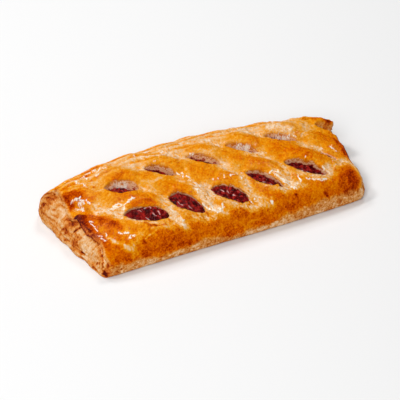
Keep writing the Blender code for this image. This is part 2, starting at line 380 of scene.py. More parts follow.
BAKED_STROKES = strokes(
    (4, 29, 6, 9, 2.6, 0.4), (7.2, 28.4, 16.5, 18, 1.5, 0.22), (3, 31, 4.5, 20, 1.3, 0.34),
    (12, 22, 14, 8, 4, 0.14), (3.5, 44.5, 10, 36.5, 2.6, 0.23), (2.8, 44, 3.6, 40, 1.2, 0.4),
    (23.5, 22.4, 36, 21.2, 1, 0.1), (64, 29.5, 79, 24, 4.2, 0.05), (86, 30, 98, 25, 3.8, 0.04),
    (107, 29, 119, 24, 3.8, 0.12), (46, 28, 57, 23, 3.4, 0.06), (137.5, 33, 138, 19, 1.5, 0.16),
    (133, 31, 136, 20, 3.2, 0.08), (133, 8, 133.5, 3, 2.4, 0.22), (127, 7, 134, 4, 3.2, 0.18),
    (142.3, 42.5, 140, 39.8, 1.3, 0.75), (129, 6.5, 134, 6.5, 1.8, 0.16),
    (137.6, 14, 138.8, 4, 0.9, -0.4), (135, 7, 133.5, 2, 1.8, 0.26), (127, 2, 130, 2.6, 1.6, 0.2),
    (134, 44, 140, 42.5, 2, 0.2), (70, 5, 96, 4, 3, 0.08), (16.1, 40.8, 16.1, 40.9, 0.6, 0.75),
    (22, 29, 30, 26.5, 2.5, 0.14), (80, 28, 86, 25, 3, -0.1), (4.5, 46, 9, 41.5, 1.8, 0.18),
    (6, 50.5, 24, 50, 4, 0.2), (12, 44, 20, 41.5, 2.6, 0.09), (5.5, 44.5, 14.5, 39, 1.5, 0.15),
    (21, 8, 28, 7, 2.6, 0.1), (20.1, 5.4, 20.1, 5.5, 0.8, 0.7), (103.1, 2.8, 103.1, 2.9, 0.7, 0.7),
    (118.4, 0.9, 118.4, 1, 0.7, 0.65),
)
WET_STROKES = strokes(
    (4.5, 40.5, 12, 33.5, 2.4, 0.25), (6, 25, 10, 12, 3.2, 0.2), (12, 18, 19, 9, 3.2, 0.2),
    (20, 27, 30, 25, 2.2, 0.7), (16, 44, 24, 46, 3, 0.6), (44, 43.5, 53, 38, 1.3, 0.8),
    (52, 38, 58, 30, 1.3, 0.7), (65, 44, 76, 35.5, 1.3, 0.95, 80, 31, 1.4, 0.8),
    (86, 43.5, 98, 35, 1.3, 1), (107, 41.5, 120, 35.5, 1.6, 0.9), (67, 22.5, 76, 22, 1.6, 0.8),
    (97, 22, 103, 13, 1.3, 1), (90, 24.5, 98, 22, 1.3, 0.6), (45, 23.5, 50, 24.5, 1.2, 0.4),
    (128, 22, 133, 18, 1, 0.8), (133, 24, 136, 20, 0.9, 0.9), (137.5, 10, 138.5, 3, 1, 0.8),
    (10, 52, 60, 53, 2.5, 0.55, 125, 47, 2.5, 0.55),
)
# Painted highlights: short near-white dashes where the glaze catches the light, painted into the colour.
HIGHLIGHT_FLECKS = dashes(
    HIGHLIGHT_FLECK_WIDTH,
    (3.5, 41.2, 6, 40), (6.4, 39.8, 8.8, 36.2), (6.2, 37.5, 8.5, 35.6), (4.1, 37.4, 7.4, 34.4),
    (9.8, 35.9, 10.6, 33.5), (6.2, 24.5, 7.4, 23.5), (6.1, 23, 7.5, 20.6), (6.9, 20.2, 7.2, 17.9),
    (6.4, 14.9, 7.2, 13.6), (9.4, 13.9, 9, 12.1), (6.5, 13, 7.4, 10.6), (19.5, 26.2, 21.6, 26.4),
    (22, 26.1, 23, 25), (16.6, 25.8, 18.5, 26.2), (15.4, 11.4, 16.4, 10.2), (17.4, 10.2, 18.4, 9.1),
    (17.9, 7.1, 19, 6.2), (19.6, 6.5, 21, 7.1), (23.4, 23.5, 25.4, 24.5), (24.6, 24.1, 26.8, 25.2),
    (28.2, 25.2, 29.1, 24.8), (45, 22.5, 45.1, 21.8), (42.8, 13.8, 43.9, 11.8), (45.4, 8.6, 45.6, 6.1),
    (43.9, 4.8, 45.1, 4.1), (60.8, 24.6, 61.4, 22.8), (61.4, 22.8, 63.1, 23.2), (59.1, 19.5, 59.1, 17.4),
    (58.4, 11.9, 59.4, 8.6), (62, 7.5, 63.6, 5.5), (63.8, 7.9, 64.9, 6), (65.8, 6.8, 67.5, 7.1),
    (63, 5.4, 64.6, 5.6), (77.5, 21.5, 79.9, 21.9), (74.8, 23.4, 74.4, 21.5), (71.8, 22.6, 71.8, 22.1),
    (69.5, 23.4, 69.6, 23), (71.4, 17.8, 72.5, 16.9), (69.4, 15.9, 72.2, 16.4), (73.5, 16.9, 73.9, 16.5),
    (76.4, 11.1, 76.6, 10.6), (90.1, 2.9, 90.4, 2.5), (82.9, 7.5, 83.2, 7.1), (98.6, 15.1, 100.6, 12),
    (100.6, 12, 102.2, 9), (96.5, 17.2, 97.8, 17.5), (84.1, 23.1, 84.5, 22.8), (108.4, 11.4, 108.2, 8.1),
    (103, 7.4, 103.5, 5.4), (104.1, 6.5, 104.5, 5.1), (107.6, 40.4, 110.8, 38.2),
    (132.6, 23.4, 134.1, 21), (127.6, 25.1, 128, 23.9), (129.2, 15.2, 129.6, 14.9),
    (117.3, 20.6, 117.1, 20), (112.9, 7.8, 113.2, 7.4), (114.6, 7.1, 115.4, 6.5),
    (118.8, 5.8, 120.9, 5.8), (122.5, 12.8, 122.6, 12), (41.4, 51.1, 41.5, 50.2), (48, 52.9, 49.1, 52.9),
    (49.9, 52.9, 50.2, 52.9), (66.8, 41.8, 67, 41.2), (67.9, 40.9, 68.1, 40.4), (69, 49.5, 69, 48.4),
    (87.9, 49.9, 88, 49.1), (9.2, 50.5, 10.6, 50), (10.9, 48.2, 11.9, 48.1), (12.8, 45.6, 12.9, 44.8),
    (24.6, 38, 26.6, 37.9), (27.4, 37.6, 29.2, 36.9), (29.8, 36.4, 31.6, 35.4), (26, 37, 28, 36.5),
    (90.4, 39.7, 92.5, 38.3), (93.2, 37.8, 95.6, 35.9), (111, 38.9, 113, 37.8), (112, 38.1, 114.2, 36.9),
    (114, 37.4, 116.6, 35.6), (15.4, 50.1, 16.1, 48.4), (16.8, 50.8, 18.8, 50.6),
    (19.8, 50.6, 21.4, 49.8), (22.1, 49, 24, 49.6), (24.8, 49, 26.2, 47.9), (13.4, 50.2, 14.4, 50.1),
    (20.1, 47, 21.5, 46.6), (11.8, 46.8, 13.1, 46.4), (13, 45, 13.5, 43), (10.8, 49.1, 11.4, 47),
    (45.9, 42.1, 48.5, 42.2), (54.2, 48.4, 55.9, 48.6), (55.1, 33.4, 56.5, 32), (57.8, 32.2, 57.6, 30),
    (59.2, 30.1, 59.8, 28), (58.9, 27.2, 59.2, 25.9), (59.9, 25, 60.4, 23), (61.1, 23.4, 61.8, 21.5),
    (59, 20.2, 60.1, 19.2), (59, 9.9, 60.4, 8.4), (61.8, 10.2, 62.1, 7.9), (61.5, 7.6, 63.4, 6.1),
    (64.6, 7.6, 65.8, 5.8), (66.6, 8.5, 66.9, 6.9), (82.1, 20.2, 81.6, 18.2), (79.8, 8.6, 80.6, 7.1),
    (80.4, 6.8, 81.4, 5.5), (72.1, 36.8, 73, 35.4), (73.1, 34.8, 74.2, 32.6), (66.4, 41.2, 68.5, 41.2),
    (70, 38.8, 70.9, 37.4), (86.8, 39.5, 89.5, 38.5), (91.6, 35.5, 94, 32.8), (108.2, 39.5, 110.6, 37.9),
    (112.5, 34.2, 114.9, 33.8), (114.6, 35.4, 116.2, 34.2), (118, 34.5, 119.1, 33.6),
    (98.4, 15.9, 100, 12.8), (100, 12.8, 101.8, 9.1), (111.1, 8.5, 112.6, 7.4), (114.2, 7.2, 114.8, 6.2),
    (116.2, 6.1, 119.1, 5.5), (6.4, 39.9, 8.1, 39.2), (6, 35.9, 7.1, 33.8), (19, 25.4, 20.8, 25.6),
    (20.9, 24.9, 23, 25), (24.6, 24.1, 26.4, 24.6), (26.4, 24.6, 28.2, 25.2), (22.1, 23.1, 23.1, 23),
    (26.5, 37.6, 28.9, 37), (24.5, 36.6, 26.9, 36.2), (27.1, 35.6, 29.8, 34.8), (29.4, 36.1, 31.2, 34.6),
    (30.4, 33.9, 31.6, 32.1), (22.2, 37.5, 24.1, 36.9), (28.6, 37.6, 30.4, 36.9), (9.5, 15.1, 9.6, 13.1),
    (14.9, 12.5, 15.5, 10.6), (17, 10.5, 18.6, 9.8), (19.2, 7.6, 20.5, 6.2), (17.5, 7.2, 19, 7.2),
)
LIGHT_LINES = strokes(
    (4.9, 50, 6.8, 47.2, 0.6, 0.7, 9.6, 42.4, 0.6, 0.7, 14.1, 38.8, 0.7, 0.6),
    (2.8, 52.1, 7, 52.4, 0.5, 0.7), (2.9, 48.9, 5.8, 49.6, 0.5, 0.6), (9.4, 11.1, 11, 8, 0.9, 1.15,
     14.2, 4.2, 1.1, 1.2, 17.2, 2.4, 1, 1.1), (18.9, 3.4, 21.9, 5, 1.5, 0.9),
    (21.9, 5.9, 26.8, 7.5, 1.6, 0.5), (25.1, 4.2, 27.1, 5, 0.5, 1, 30.5, 5.8, 0.5, 1,
     31.8, 6.2, 0.5, 0.9), (28.8, 7.2, 32.2, 7.1, 0.6, 0.8, 36.5, 5.4, 0.6, 0.85, 39, 4.1, 0.7, 0.8),
    (43.6, 21.8, 42.4, 16.1, 1.3, 0.8, 43.2, 10.6, 1.4, 0.9, 44.2, 5.5, 1.6, 1, 44.9, 3.5, 1.2, 0.8),
    (60.4, 33.4, 60.5, 26.4, 0.8, 0.8, 61.5, 21, 0.8, 0.9, 61.4, 11.5, 1.6, 0.9, 62, 5.4, 1.4, 0.8),
    (64.9, 19.5, 64.6, 14.8, 0.9, 0.9, 67.5, 10.1, 0.7, 0.9, 70.6, 6.1, 0.7, 0.85, 75.9, 5, 0.8, 0.6),
    (46.1, 20.4, 46.4, 15.9, 0.6, 0.6, 48.4, 11.5, 0.5, 0.6, 51.5, 8.4, 0.5, 0.5, 56.1, 7.4, 0.5, 0.5),
    (78.8, 3.5, 85, 3.4, 1.3, 0.9, 90.6, 4.1, 1.2, 0.9), (92.4, 11.5, 95.6, 7.5, 0.6, 0.7,
     99.1, 6.1, 0.9, 0.9, 105, 7.1, 1.4, 0.9), (105.9, 17.8, 109.1, 13.8, 0.5, 0.5, 113.8, 9.4, 0.6, 0.8,
     119, 7.1, 0.7, 0.9), (119.1, 7.4, 126.4, 9, 1.6, 0.9), (124.9, 12.1, 125.8, 7.8, 1.2, 0.7),
    (21.4, 45.2, 28.5, 43.9, 0.7, 0.6, 36.1, 43.6, 0.7, 0.65, 38.6, 40.2, 0.6, 0.6),
    (28.8, 52.1, 37.1, 50.9, 0.6, 0.55, 48.5, 47.5, 0.7, 0.6, 56.4, 46.4, 0.8, 0.7, 60, 46.2, 0.8, 0.6),
    (50.9, 52.4, 58.4, 51.5, 0.5, 0.8, 63.4, 52.9, 0.6, 0.9), (57.8, 42.9, 63.4, 42.4, 1.6, 0.8),
    (68.5, 40, 77.1, 39.4, 0.9, 0.5, 83.6, 37.5, 0.9, 0.6), (76.1, 33.2, 79.1, 28.6, 1.7, 1),
    (95.1, 45.2, 106.1, 43.6, 0.9, 0.6, 118.6, 43.8, 1, 0.6), (75, 47.8, 86.2, 46.8, 0.8, 0.6,
     98.2, 46.2, 0.8, 0.5), (124.1, 48.8, 128.6, 42.1, 1.2, 0.5), (122, 44, 129.9, 37.2, 1.4, 0.5),
    (120.5, 27, 126.4, 24.9, 1, 0.7), (130.4, 16.6, 133.4, 14.4, 1, 0.8),
    (133.6, 16.1, 137.2, 13.8, 1.3, 0.8), (14.2, 43.2, 18.4, 43.5, 0.8, 0.5, 22.1, 42.4, 0.8, 0.5),
    (17, 38.2, 21, 31.5, 0.9, 0.6), (36.5, 35.6, 40.4, 30.9, 1, 0.6, 47, 31.8, 1.2, 0.7),
    (49.4, 38.6, 56.1, 41.6, 0.9, 0.5), (57.2, 5.5, 59.4, 4.4, 0.9, 0.9), (77.4, 5, 78.8, 3.5, 0.9, 0.8),
    (36.2, 11.1, 38.4, 9, 0.8, 0.7), (3.9, 45.5, 8.4, 45.2, 0.6, 0.9, 12.9, 42.6, 0.6, 0.9,
     15.2, 38.9, 0.6, 0.85, 20.2, 36.4, 0.6, 0.7), (4.2, 49.6, 9.6, 51.1, 0.6, 0.8, 15, 49.4, 0.6, 0.8,
     21.1, 47, 0.6, 0.85, 28.8, 47.6, 0.6, 0.8, 37, 47.5, 0.6, 0.7), (20.9, 44.1, 27.4, 44.8, 0.5, 0.7,
     34.5, 44.4, 0.5, 0.7, 37.2, 40.5, 0.5, 0.7), (38.5, 50.6, 44.8, 48.4, 0.5, 0.7,
     47.5, 45.4, 0.5, 0.7),
)
# Thin dark lines: browned lobe edges, and painted shade in cracks and under the slits' lips.
DARK_AND_SHADE_LINES = strokes(
    (26.6, 23.2, 35.4, 21.4, 0.6, 0.12, 39.2, 18.6, 0.6, 0.18), (39.2, 18.2, 40.4, 14.1, 0.5, 0.25),
    (27.8, 10.5, 32, 7.7, 0.5, 0.42, 37.1, 6.8, 0.5, 0.42), (6.5, 27.1, 10.5, 22.6, 1.3, 0.22,
     14.5, 18.1, 1.3, 0.24, 17.4, 13.5, 1, 0.2), (4, 44.6, 8.2, 39.5, 1.3, 0.22, 12.4, 34.9, 1.2, 0.2),
    (6.8, 32.9, 9.1, 28.4, 1.2, 0.1), (23.8, 3.5, 24.1, 3.2, 0.6, 0.6), (127, 22.4, 128.8, 20, 0.5, 0.45,
     131.6, 17, 0.5, 0.4), (23.8, 41.4, 30.1, 39.6, 1, 0.2), (57.1, 27, 54.8, 30.5, 0.5, 0.25),
    (53.9, 52.9, 59.4, 52.5, 0.7, 0.15), (130.9, 33.1, 136.5, 29.4, 1.5, 0.15),
    (137.4, 27.9, 137.8, 18.6, 0.9, 0.32, 138, 15.2, 0.8, 0.4), (142.4, 49.9, 140.4, 38.5, 1, 0.5),
    (57.2, 8.5, 58.4, 6.5, 0.45, 0.45, 59.8, 4.2, 0.4, 0.3), (79.4, 7.9, 80.6, 6, 0.4, 0.35,
     81.1, 3.9, 0.4, 0.3), (98.2, 7.5, 100.1, 6, 0.4, 0.3), (38.8, 11.9, 39.8, 7.6, 0.4, 0.3),
    (108.6, 22, 113.9, 19.8, 0.5, 0.25, 118.2, 15.8, 0.5, 0.2), (24.1, 43.4, 28, 39.5, 1.4, 0.07),
    (26.5, 42, 33.5, 40, 0.8, 0.14), (3.4, 31.6, 4.4, 28, 1, 0.5), (2.2, 44.5, 3.4, 37.5, 0.9, 0.35),
)
# Painted highlights: short pale dashes of light on the wet juice of the filling.
JUICE_HIGHLIGHTS = dashes(
    JUICE_HIGHLIGHT_WIDTH,
    (31.6, 19.4, 33.1, 19.4), (34.2, 19.5, 34.5, 18), (28.6, 19.6, 29.5, 18.2), (34, 14.8, 34.8, 13.1),
    (36.9, 15.4, 36.8, 13.1), (29.6, 13.4, 30.5, 11.9), (48, 17.1, 48.2, 15.4), (48.6, 15.1, 49, 13.9),
    (51.6, 12.8, 52.4, 11.2), (70.5, 17, 71.2, 15.5), (72.9, 15.5, 73, 13.6), (74.2, 12, 74.8, 11.1),
    (91.8, 15.2, 92.4, 14.4), (94, 12.5, 94.6, 11.6), (111.6, 15.4, 112.6, 14.4),
    (114.1, 13.1, 114.8, 12.4),
)
WALL_DARKS = strokes(
    (4.5, 11.5, 6.5, 9.6, 1, 0.3), (7, 8.6, 9.5, 8, 1, 0.32), (9.5, 11, 12, 9, 0.9, 0.26),
    (11.5, 7.6, 14, 7, 0.8, 0.28), (14, 11, 16.5, 9.6, 0.8, 0.2), (5, 7, 6.5, 6.4, 0.7, 0.24),
    (22.2, 15.2, 22.8, 13.8, 0.45, 0.5), (20, 12, 24, 8.5, 2, 0.16), (22, 6.6, 25, 6, 1, 0.32),
    (27, 8, 36, 6.8, 1.4, 0.2), (40, 6.8, 50, 5.6, 1.1, 0.3), (34, 9.4, 52, 8.4, 2.2, 0.12),
    (57.5, 2.6, 63, 3.9, 0.5, 0.45), (63, 2.4, 69, 2.8, 0.9, 0.16), (64, 6.5, 73, 4.5, 2.2, 0.09),
    (81, 5.4, 92, 4.2, 1.6, 0.08), (86, 8.2, 100, 9, 1.2, 0.1), (100, 10, 112, 8.8, 1.8, 0.09),
    (112, 12.5, 117, 10.5, 1.5, 0.18), (101.4, 13.9, 101.6, 13.8, 0.45, 0.6),
    (117.4, 9.6, 118.2, 8.6, 0.5, 0.55), (126.5, 14, 129, 9, 1.4, 0.2),
    (127.8, 7.2, 129.4, 6.8, 0.9, 0.42), (132.5, 9.5, 133.5, 5.5, 1.3, 0.36),
    (128.5, 9.5, 133.5, 5.5, 2, 0.22), (7, 2.6, 7.4, 2.6, 0.5, 0.4), (9.4, 3.4, 10.4, 3.6, 0.5, 0.5),
    (30.5, 3.2, 30.9, 3, 0.6, 0.4), (126, 2.2, 131, 2.6, 0.8, 0.15),
)
WALL_PALES = strokes(
    (4, 12.8, 5.2, 4, 0.5, 0.6), (8, 15, 17, 12.5, 0.9, 0.55), (16.4, 13, 18.2, 9.8, 0.45, 0.7,
     20.6, 6, 0.45, 0.7), (5.5, 8.2, 8, 6.9, 0.5, 0.45), (11, 9.4, 12.6, 6.4, 0.45, 0.45),
    (52, 16, 55, 13, 0.6, 0.5, 58, 11.6, 0.6, 0.6, 62, 11, 0.6, 0.7), (62.6, 10, 63, 6.6, 0.5, 0.55,
     58, 4.2, 0.5, 0.45), (74, 3.5, 74.6, 6.3, 0.45, 0.7, 77, 7.6, 0.45, 0.7, 81.5, 7.6, 0.45, 0.6,
     85.3, 8.5, 0.45, 0.6, 89.6, 9.8, 0.45, 0.5), (75, 2, 75.6, 4, 0.4, 0.5, 81.5, 5.2, 0.4, 0.5),
    (70, 16, 78, 12.4, 0.9, 0.6, 88, 11.4, 1, 0.55), (90.2, 3.6, 90.7, 3.5, 0.45, 1),
    (96, 7.6, 97, 3, 0.45, 0.4), (107, 6.8, 109, 2.4, 0.5, 0.5), (115, 7, 119, 5, 0.5, 0.55,
     117, 2, 0.45, 0.5), (122, 6.6, 127, 4.4, 0.5, 0.5, 133, 4, 0.7, 0.6, 134.6, 9, 0.8, 0.7),
    (135.8, 14, 136.8, 8, 1.1, 1, 137.4, 2.5, 1.4, 1),
)
# Dark lines and spots on the end faces, also sunk into them: browned layer edges, and painted shade in the
# cracks between layers.
END_DARKS_AND_SHADE = strokes(
    (30.6, 14.2, 30.2, 15.8, 0.8, 0.55), (30, 15.4, 26, 14.8, 0.75, 0.3), (12, 11.9, 6, 9.9, 0.5, 0.22),
    (29, 8.3, 27.2, 11.2, 0.42, 0.9), (11, 9.3, 7, 8.1, 0.35, 0.35, 4.2, 6.4, 0.35, 0.35,
     3.3, 4.8, 0.35, 0.35, 4, 3.6, 0.3, 0.3), (6, 5.2, 8, 4, 0.8, 0.4), (9.5, 6, 12, 5.4, 0.6, 0.25),
    (24, 4.6, 27, 4, 0.9, 0.35), (21, 4, 23, 3.6, 0.6, 0.25), (34.5, 7.2, 36.6, 5.8, 0.8, 0.3),
    (31, 12, 35, 10.8, 0.45, 0.4, 38, 10, 0.5, 0.5), (38, 12.2, 44, 12.6, 0.45, 0.32,
     51, 12.9, 0.45, 0.35), (36, 14.6, 44, 15.6, 0.5, 0.15), (33, 13.2, 36, 12.4, 0.6, 0.25),
    (39, 6.2, 46, 5, 0.5, 0.28, 55, 4.2, 0.6, 0.28), (41, 8.5, 46, 7.6, 0.5, 0.22),
    (6, 9, 7, 10.6, 1.4, 0.22), (8, 7, 15, 8.6, 1.2, 0.2), (13, 10.2, 19, 10.4, 0.6, 0.2),
    (32, 10.4, 39, 9.8, 1.2, 0.2), (21, 6, 27, 6.4, 1, 0.14), (32, 6.4, 36, 5.6, 1, 0.15),
    (50.5, 14.5, 54.5, 9, 1.3, 0.38, 55.5, 5, 1, 0.24), (1, 9, 1.5, 5, 1.2, 0.22),
    (12, 4, 16, 4.2, 0.7, 0.15), (44, 12, 48, 11.6, 0.6, 0.15), (4, 8.8, 8, 10.4, 1, 0.28,
     16, 10.6, 0.7, 0.26), (30.5, 10.2, 34, 9.6, 1, 0.26), (32, 10, 36, 8, 0.8, 0.22),
    (33, 6.5, 39, 5.4, 1, 0.22), (33, 3, 36, 2, 1, 0.2), (47, 9.8, 53, 8.6, 0.6, 0.3),
    (50, 11.5, 55, 9, 0.7, 0.38), (52, 14.5, 55.5, 11, 0.6, 0.2), (54, 8, 56.5, 5.5, 0.7, 0.4),
    (34, 4.4, 37, 3.4, 0.6, 0.35), (0.6, 1, 2, 2.9, 0.65, 0.85), (7, 1.4, 9.5, 0.8, 0.7, 0.35),
    (12, 1.3, 20, 0.9, 0.6, 0.28), (24, 1.6, 28, 0.9, 0.6, 0.2), (39, 1.7, 45, 1.3, 0.7, 0.35),
    (50, 2, 56, 1.6, 0.7, 0.3), (18, 2.35, 33, 2.25, 0.3, 0.45), (46, 14.5, 50, 14.2, 0.6, 0.22),
)
END_PALES = strokes(
    (12, 10.3, 8, 9.2, 0.4, 0.55, 5, 8, 0.4, 0.55, 3, 6.4, 0.4, 0.55, 2.2, 4.8, 0.4, 0.5,
     2.4, 3.6, 0.4, 0.45), (10, 7.6, 14, 8.4, 0.5, 0.25, 20, 9.2, 0.7, 0.4, 26, 10.2, 0.6, 0.4),
    (12, 7, 22, 6.2, 1.5, 0.38), (15, 5, 16, 8, 0.4, 0.5), (18, 4.8, 19.5, 8.2, 0.4, 0.5),
    (20.5, 5, 21.5, 8.5, 0.4, 0.45), (9, 4.4, 14, 4.2, 0.8, 0.35), (24, 8.4, 26.5, 9.6, 0.7, 0.35),
    (35, 9.6, 42, 8.6, 0.9, 0.32), (37, 7, 38, 10, 0.35, 0.4), (40, 7, 41, 10, 0.35, 0.4),
    (31, 4, 40, 4.6, 0.8, 0.35), (30, 14, 22, 12.9, 0.35, 0.4, 14, 11.6, 0.35, 0.35),
    (32, 15.2, 38, 13.8, 1.2, 0.28), (39, 14, 48, 14.2, 0.9, 0.25), (42, 10.8, 48, 11, 0.6, 0.25),
    (46, 6.6, 52, 6.2, 0.6, 0.3), (20, 1.4, 36, 1.9, 0.6, 0.25), (28, 2.4, 44, 2.4, 0.4, 0.3),
    (46, 1.4, 50, 1.8, 0.5, 0.25), (49, 13.6, 52, 12, 0.5, 0.3), (40.5, 11.4, 41.2, 5.5, 0.6, 0.55),
    (41, 10.2, 44, 9.4, 0.9, 0.45), (48, 10.6, 56, 10.2, 0.9, 0.35), (38, 1.8, 48, 1.5, 0.9, 0.5),
    (16, 1.6, 20, 1.6, 0.8, 0.35), (48, 12.4, 52, 11.8, 0.8, 0.4), (52, 2, 56, 2, 0.9, 0.3),
    (29, 8.2, 31.5, 7.4, 0.8, 0.35), (36, 14.6, 39.5, 14, 0.8, 0.4), (26, 13.4, 30, 12.4, 0.7, 0.2),
    (17, 3.6, 19.5, 3.8, 0.8, 0.5),
)


@dataclass(frozen=True)
class PastryForm:
    """The folded pastry's footprint, ends and dome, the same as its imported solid."""

    length: float = 139.6
    seam_side_width: float = 57.0
    seam_side_bulge: float = 6.2
    seam_side_draw_in: float = 4.5
    corner_radius: float = 9.0
    left_slant: float = 5.2
    right_slant: float = 0.10
    fold_height: float = 14.2
    seam_rise: float = 10.0
    left_height: float = 0.60
    right_height: float = 0.66
    fold_shoulder: float = 11.0
    seam_shoulder: float = 15.0
    end_inset: float = 6.6
    end_overhang: float = 0.12
    bottom_sheet: float = 2.6
    sheet_step: float = 0.9
    right_inset: float = 3.2
    lattice_start: float = 50.4
    lattice_pitch: float = 20.95
    strand_puff: float = 0.5
    lip_height: float = 0.55
    brow_height: float = 0.85
    valley_depth: float = 0.75

    def quarter_round(self, reach: Array) -> Array:
        """How far a rounded corner draws in: the radius less its circle's height at that reach."""
        share = unit(reach / self.corner_radius)
        return self.corner_radius * (1.0 - np.sqrt(1.0 - share * share))

    def fold_side(self, x: Array) -> Array:
        """Y of the folded side, drawn in at both corners."""
        left = self.quarter_round(self.corner_radius - x)
        right = self.quarter_round(x - (self.length - self.corner_radius + 0.4))
        return 0.27 * left + 0.23 * right - 0.7 * hump(95.0, 26.0, x)

    def seam_side(self, x: Array) -> Array:
        """Y of the seam side: a straight side, a sine bulge and a draw-in towards the right."""
        share = unit((x + 8.0) / 152.0)
        arc = self.seam_side_bulge * np.sin(np.pi * share**0.8)
        return self.seam_side_width + arc - self.seam_side_draw_in * smooth(0.5, 1.0, share)

    def left_edge(self, y: Array) -> Array:
        """X of the bottom sheet's edge at the left end."""
        slant = -self.left_slant * smooth(3.0, 36.0, y)
        corner = 0.5 * self.quarter_round(self.corner_radius - 1.6 * y)
        edge = 0.9 + slant + corner - 1.2 * hump(52.0, 6.0, y)
        return edge + 1.1 * hump(31.0, 5.0, y) + 0.6 * hump(18.0, 6.0, y)

    def right_edge(self, y: Array) -> Array:
        """X of the bottom sheet's edge at the right end."""
        corner = 0.4 * self.quarter_round(self.corner_radius - 1.6 * y)
        return self.length + self.right_slant * y - corner + 1.0 * hump(44.0, 6.0, y)

    def end_rise(self, z: Array, height: Array) -> Array:
        """Share of an end's inset at height z: the bottom sheet's step, a slope and the top's overhang."""
        step = self.sheet_step / self.end_inset
        ledge = step * smooth(self.bottom_sheet - 0.4, self.bottom_sheet + 0.4, z)
        share = unit((z - self.bottom_sheet) / np.maximum(height - self.bottom_sheet, 1.0))
        return ledge + (1.0 - step) * share**1.5 + self.end_overhang * hump(0.72, 0.14, share)

    def left_end(self, y: Array, z: Array, height: Array) -> Array:
        """X of the left end face at height z, under a top sheet's edge at the given height."""
        near = -3.0 * smooth(14.0, 0.0, y)
        far = 1.0 * hump(50.0, 5.0, y) - 6.2 * smooth(51.0, 57.0, y)
        return self.left_edge(y) + (self.end_inset + near + far) * self.end_rise(z, height)

    def right_end(self, y: Array, z: Array, height: Array) -> Array:
        """X of the right end face at height z, under a top sheet's edge at the given height."""
        inset = self.right_inset - 1.2 * smooth(16.0, 6.0, y) - 1.6 * smooth(36.0, 41.0, y)
        swell = 1.1 * hump(5.0, 3.5, z) * smooth(26.0, 12.0, y) - 1.3 * smooth(2.4, 0.0, z)
        notch = 2.4 * hump(33.8, 1.7, y) * smooth(3.0, 9.0, z)
        notch = notch + 5.5 * smooth(34.5, 37.0, y) * smooth(14.0, 11.5, z) * smooth(0.5, 4.0, z)
        return self.right_edge(y) - inset * self.end_rise(z, height) + swell - notch

    def full_height(self, x: Array, y: Array) -> Array:
        """Height of the dome before its shoulders: higher to the seam side and lower to both ends."""
        height = self.fold_height + self.seam_rise * smooth(-6.0, 50.0, y)
        low_left = self.left_height + 0.17 * smooth(44.0, 56.0, y)
        low_right = self.right_height + 0.06 * smooth(35.0, 40.0, y)
        left = low_left + (1.0 - low_left) * smooth(-16.0, 32.0, x)
        right = low_right + (1.0 - low_right) * smooth(165.0, 112.0, x)
        return height * left * right

    def dome(self, x: Array, y: Array) -> Array:
        """Full height times two superellipse shoulders, one at the fold and one at the seam side."""
        near = 1.0 - unit((y - self.fold_side(x)) / self.fold_shoulder)
        far = 1.0 - unit((self.seam_side(x) - y) / self.seam_shoulder)
        near_share = unit(1.0 - near**2.5) ** (1.0 / 2.7)
        far_share = unit(1.0 - far**2.4) ** (1.0 / 2.5)
        return self.full_height(x, y) * near_share * far_share

    def strand(self, x: Array, y: Array) -> Array:
        """How far a place is from the lattice lines that the slits lie on: 0 on a line, 1 between two."""
        line = (x + 1.19 * y - self.lattice_start) / self.lattice_pitch
        return 0.5 - 0.5 * np.cos(2.0 * np.pi * line)

    def puffs(self, x: Array, y: Array) -> Array:
        """Broad pillows between the lattice lines, over the fold and along the seam side."""
        waves = self.strand_puff * (2.0 * self.strand(x, y) - 1.0)
        side = 0.45 * np.sin(2.0 * np.pi * (x - 8.0) / 27.0) * hump(3.0, 7.0, y)
        seam = 0.3 * np.sin(2.0 * np.pi * (x + 0.6 * y) / 17.0) * smooth(42.0, 50.0, y)
        return (waves * smooth(2.0, 12.0, y) * smooth(58.0, 46.0, y) + side + seam) * smooth(-6.0, 12.0, x)

    def slit_relief(self, slit: Slit, x: Array, y: Array) -> Array:
        """Raised lips round a slit, a brow behind it and a dip past its tips, each a bell curve."""
        along, across = slit.place(x, y)
        half = 0.5 * slit.length
        share = np.exp(-((along / (0.85 * half)) ** 4))
        openness = min(1.0, slit.opening / 5.0)
        edge = slit.half_opening(along)
        lips = self.lip_height * hump(edge + 1.6, 1.5, np.abs(across))
        brow = self.brow_height * hump(edge + 4.2, 2.6, across)
        dips = self.valley_depth * hump(half + 1.8, 2.6, np.abs(along)) * hump(0.0, 3.2, across)
        return openness * share * (lips + brow) - (0.4 + 0.6 * openness) * dips

    def surface(self, x: Array, y: Array) -> Array:
        """Height of the baked surface in its main form, before fine wrinkles."""
        relief = self.puffs(x, y)
        for slit in FRONT_SLITS + BACK_SLITS:
            relief = relief + self.slit_relief(slit, x, y)
        held = smooth(0.0, 5.0, y - self.fold_side(x)) * smooth(0.0, 5.0, self.seam_side(x) - y)
        drooped = 2.0 * smooth(136.5, 143.0, x) * smooth(37.0, 43.0, y)
        return self.dome(x, y) + relief * held - drooped


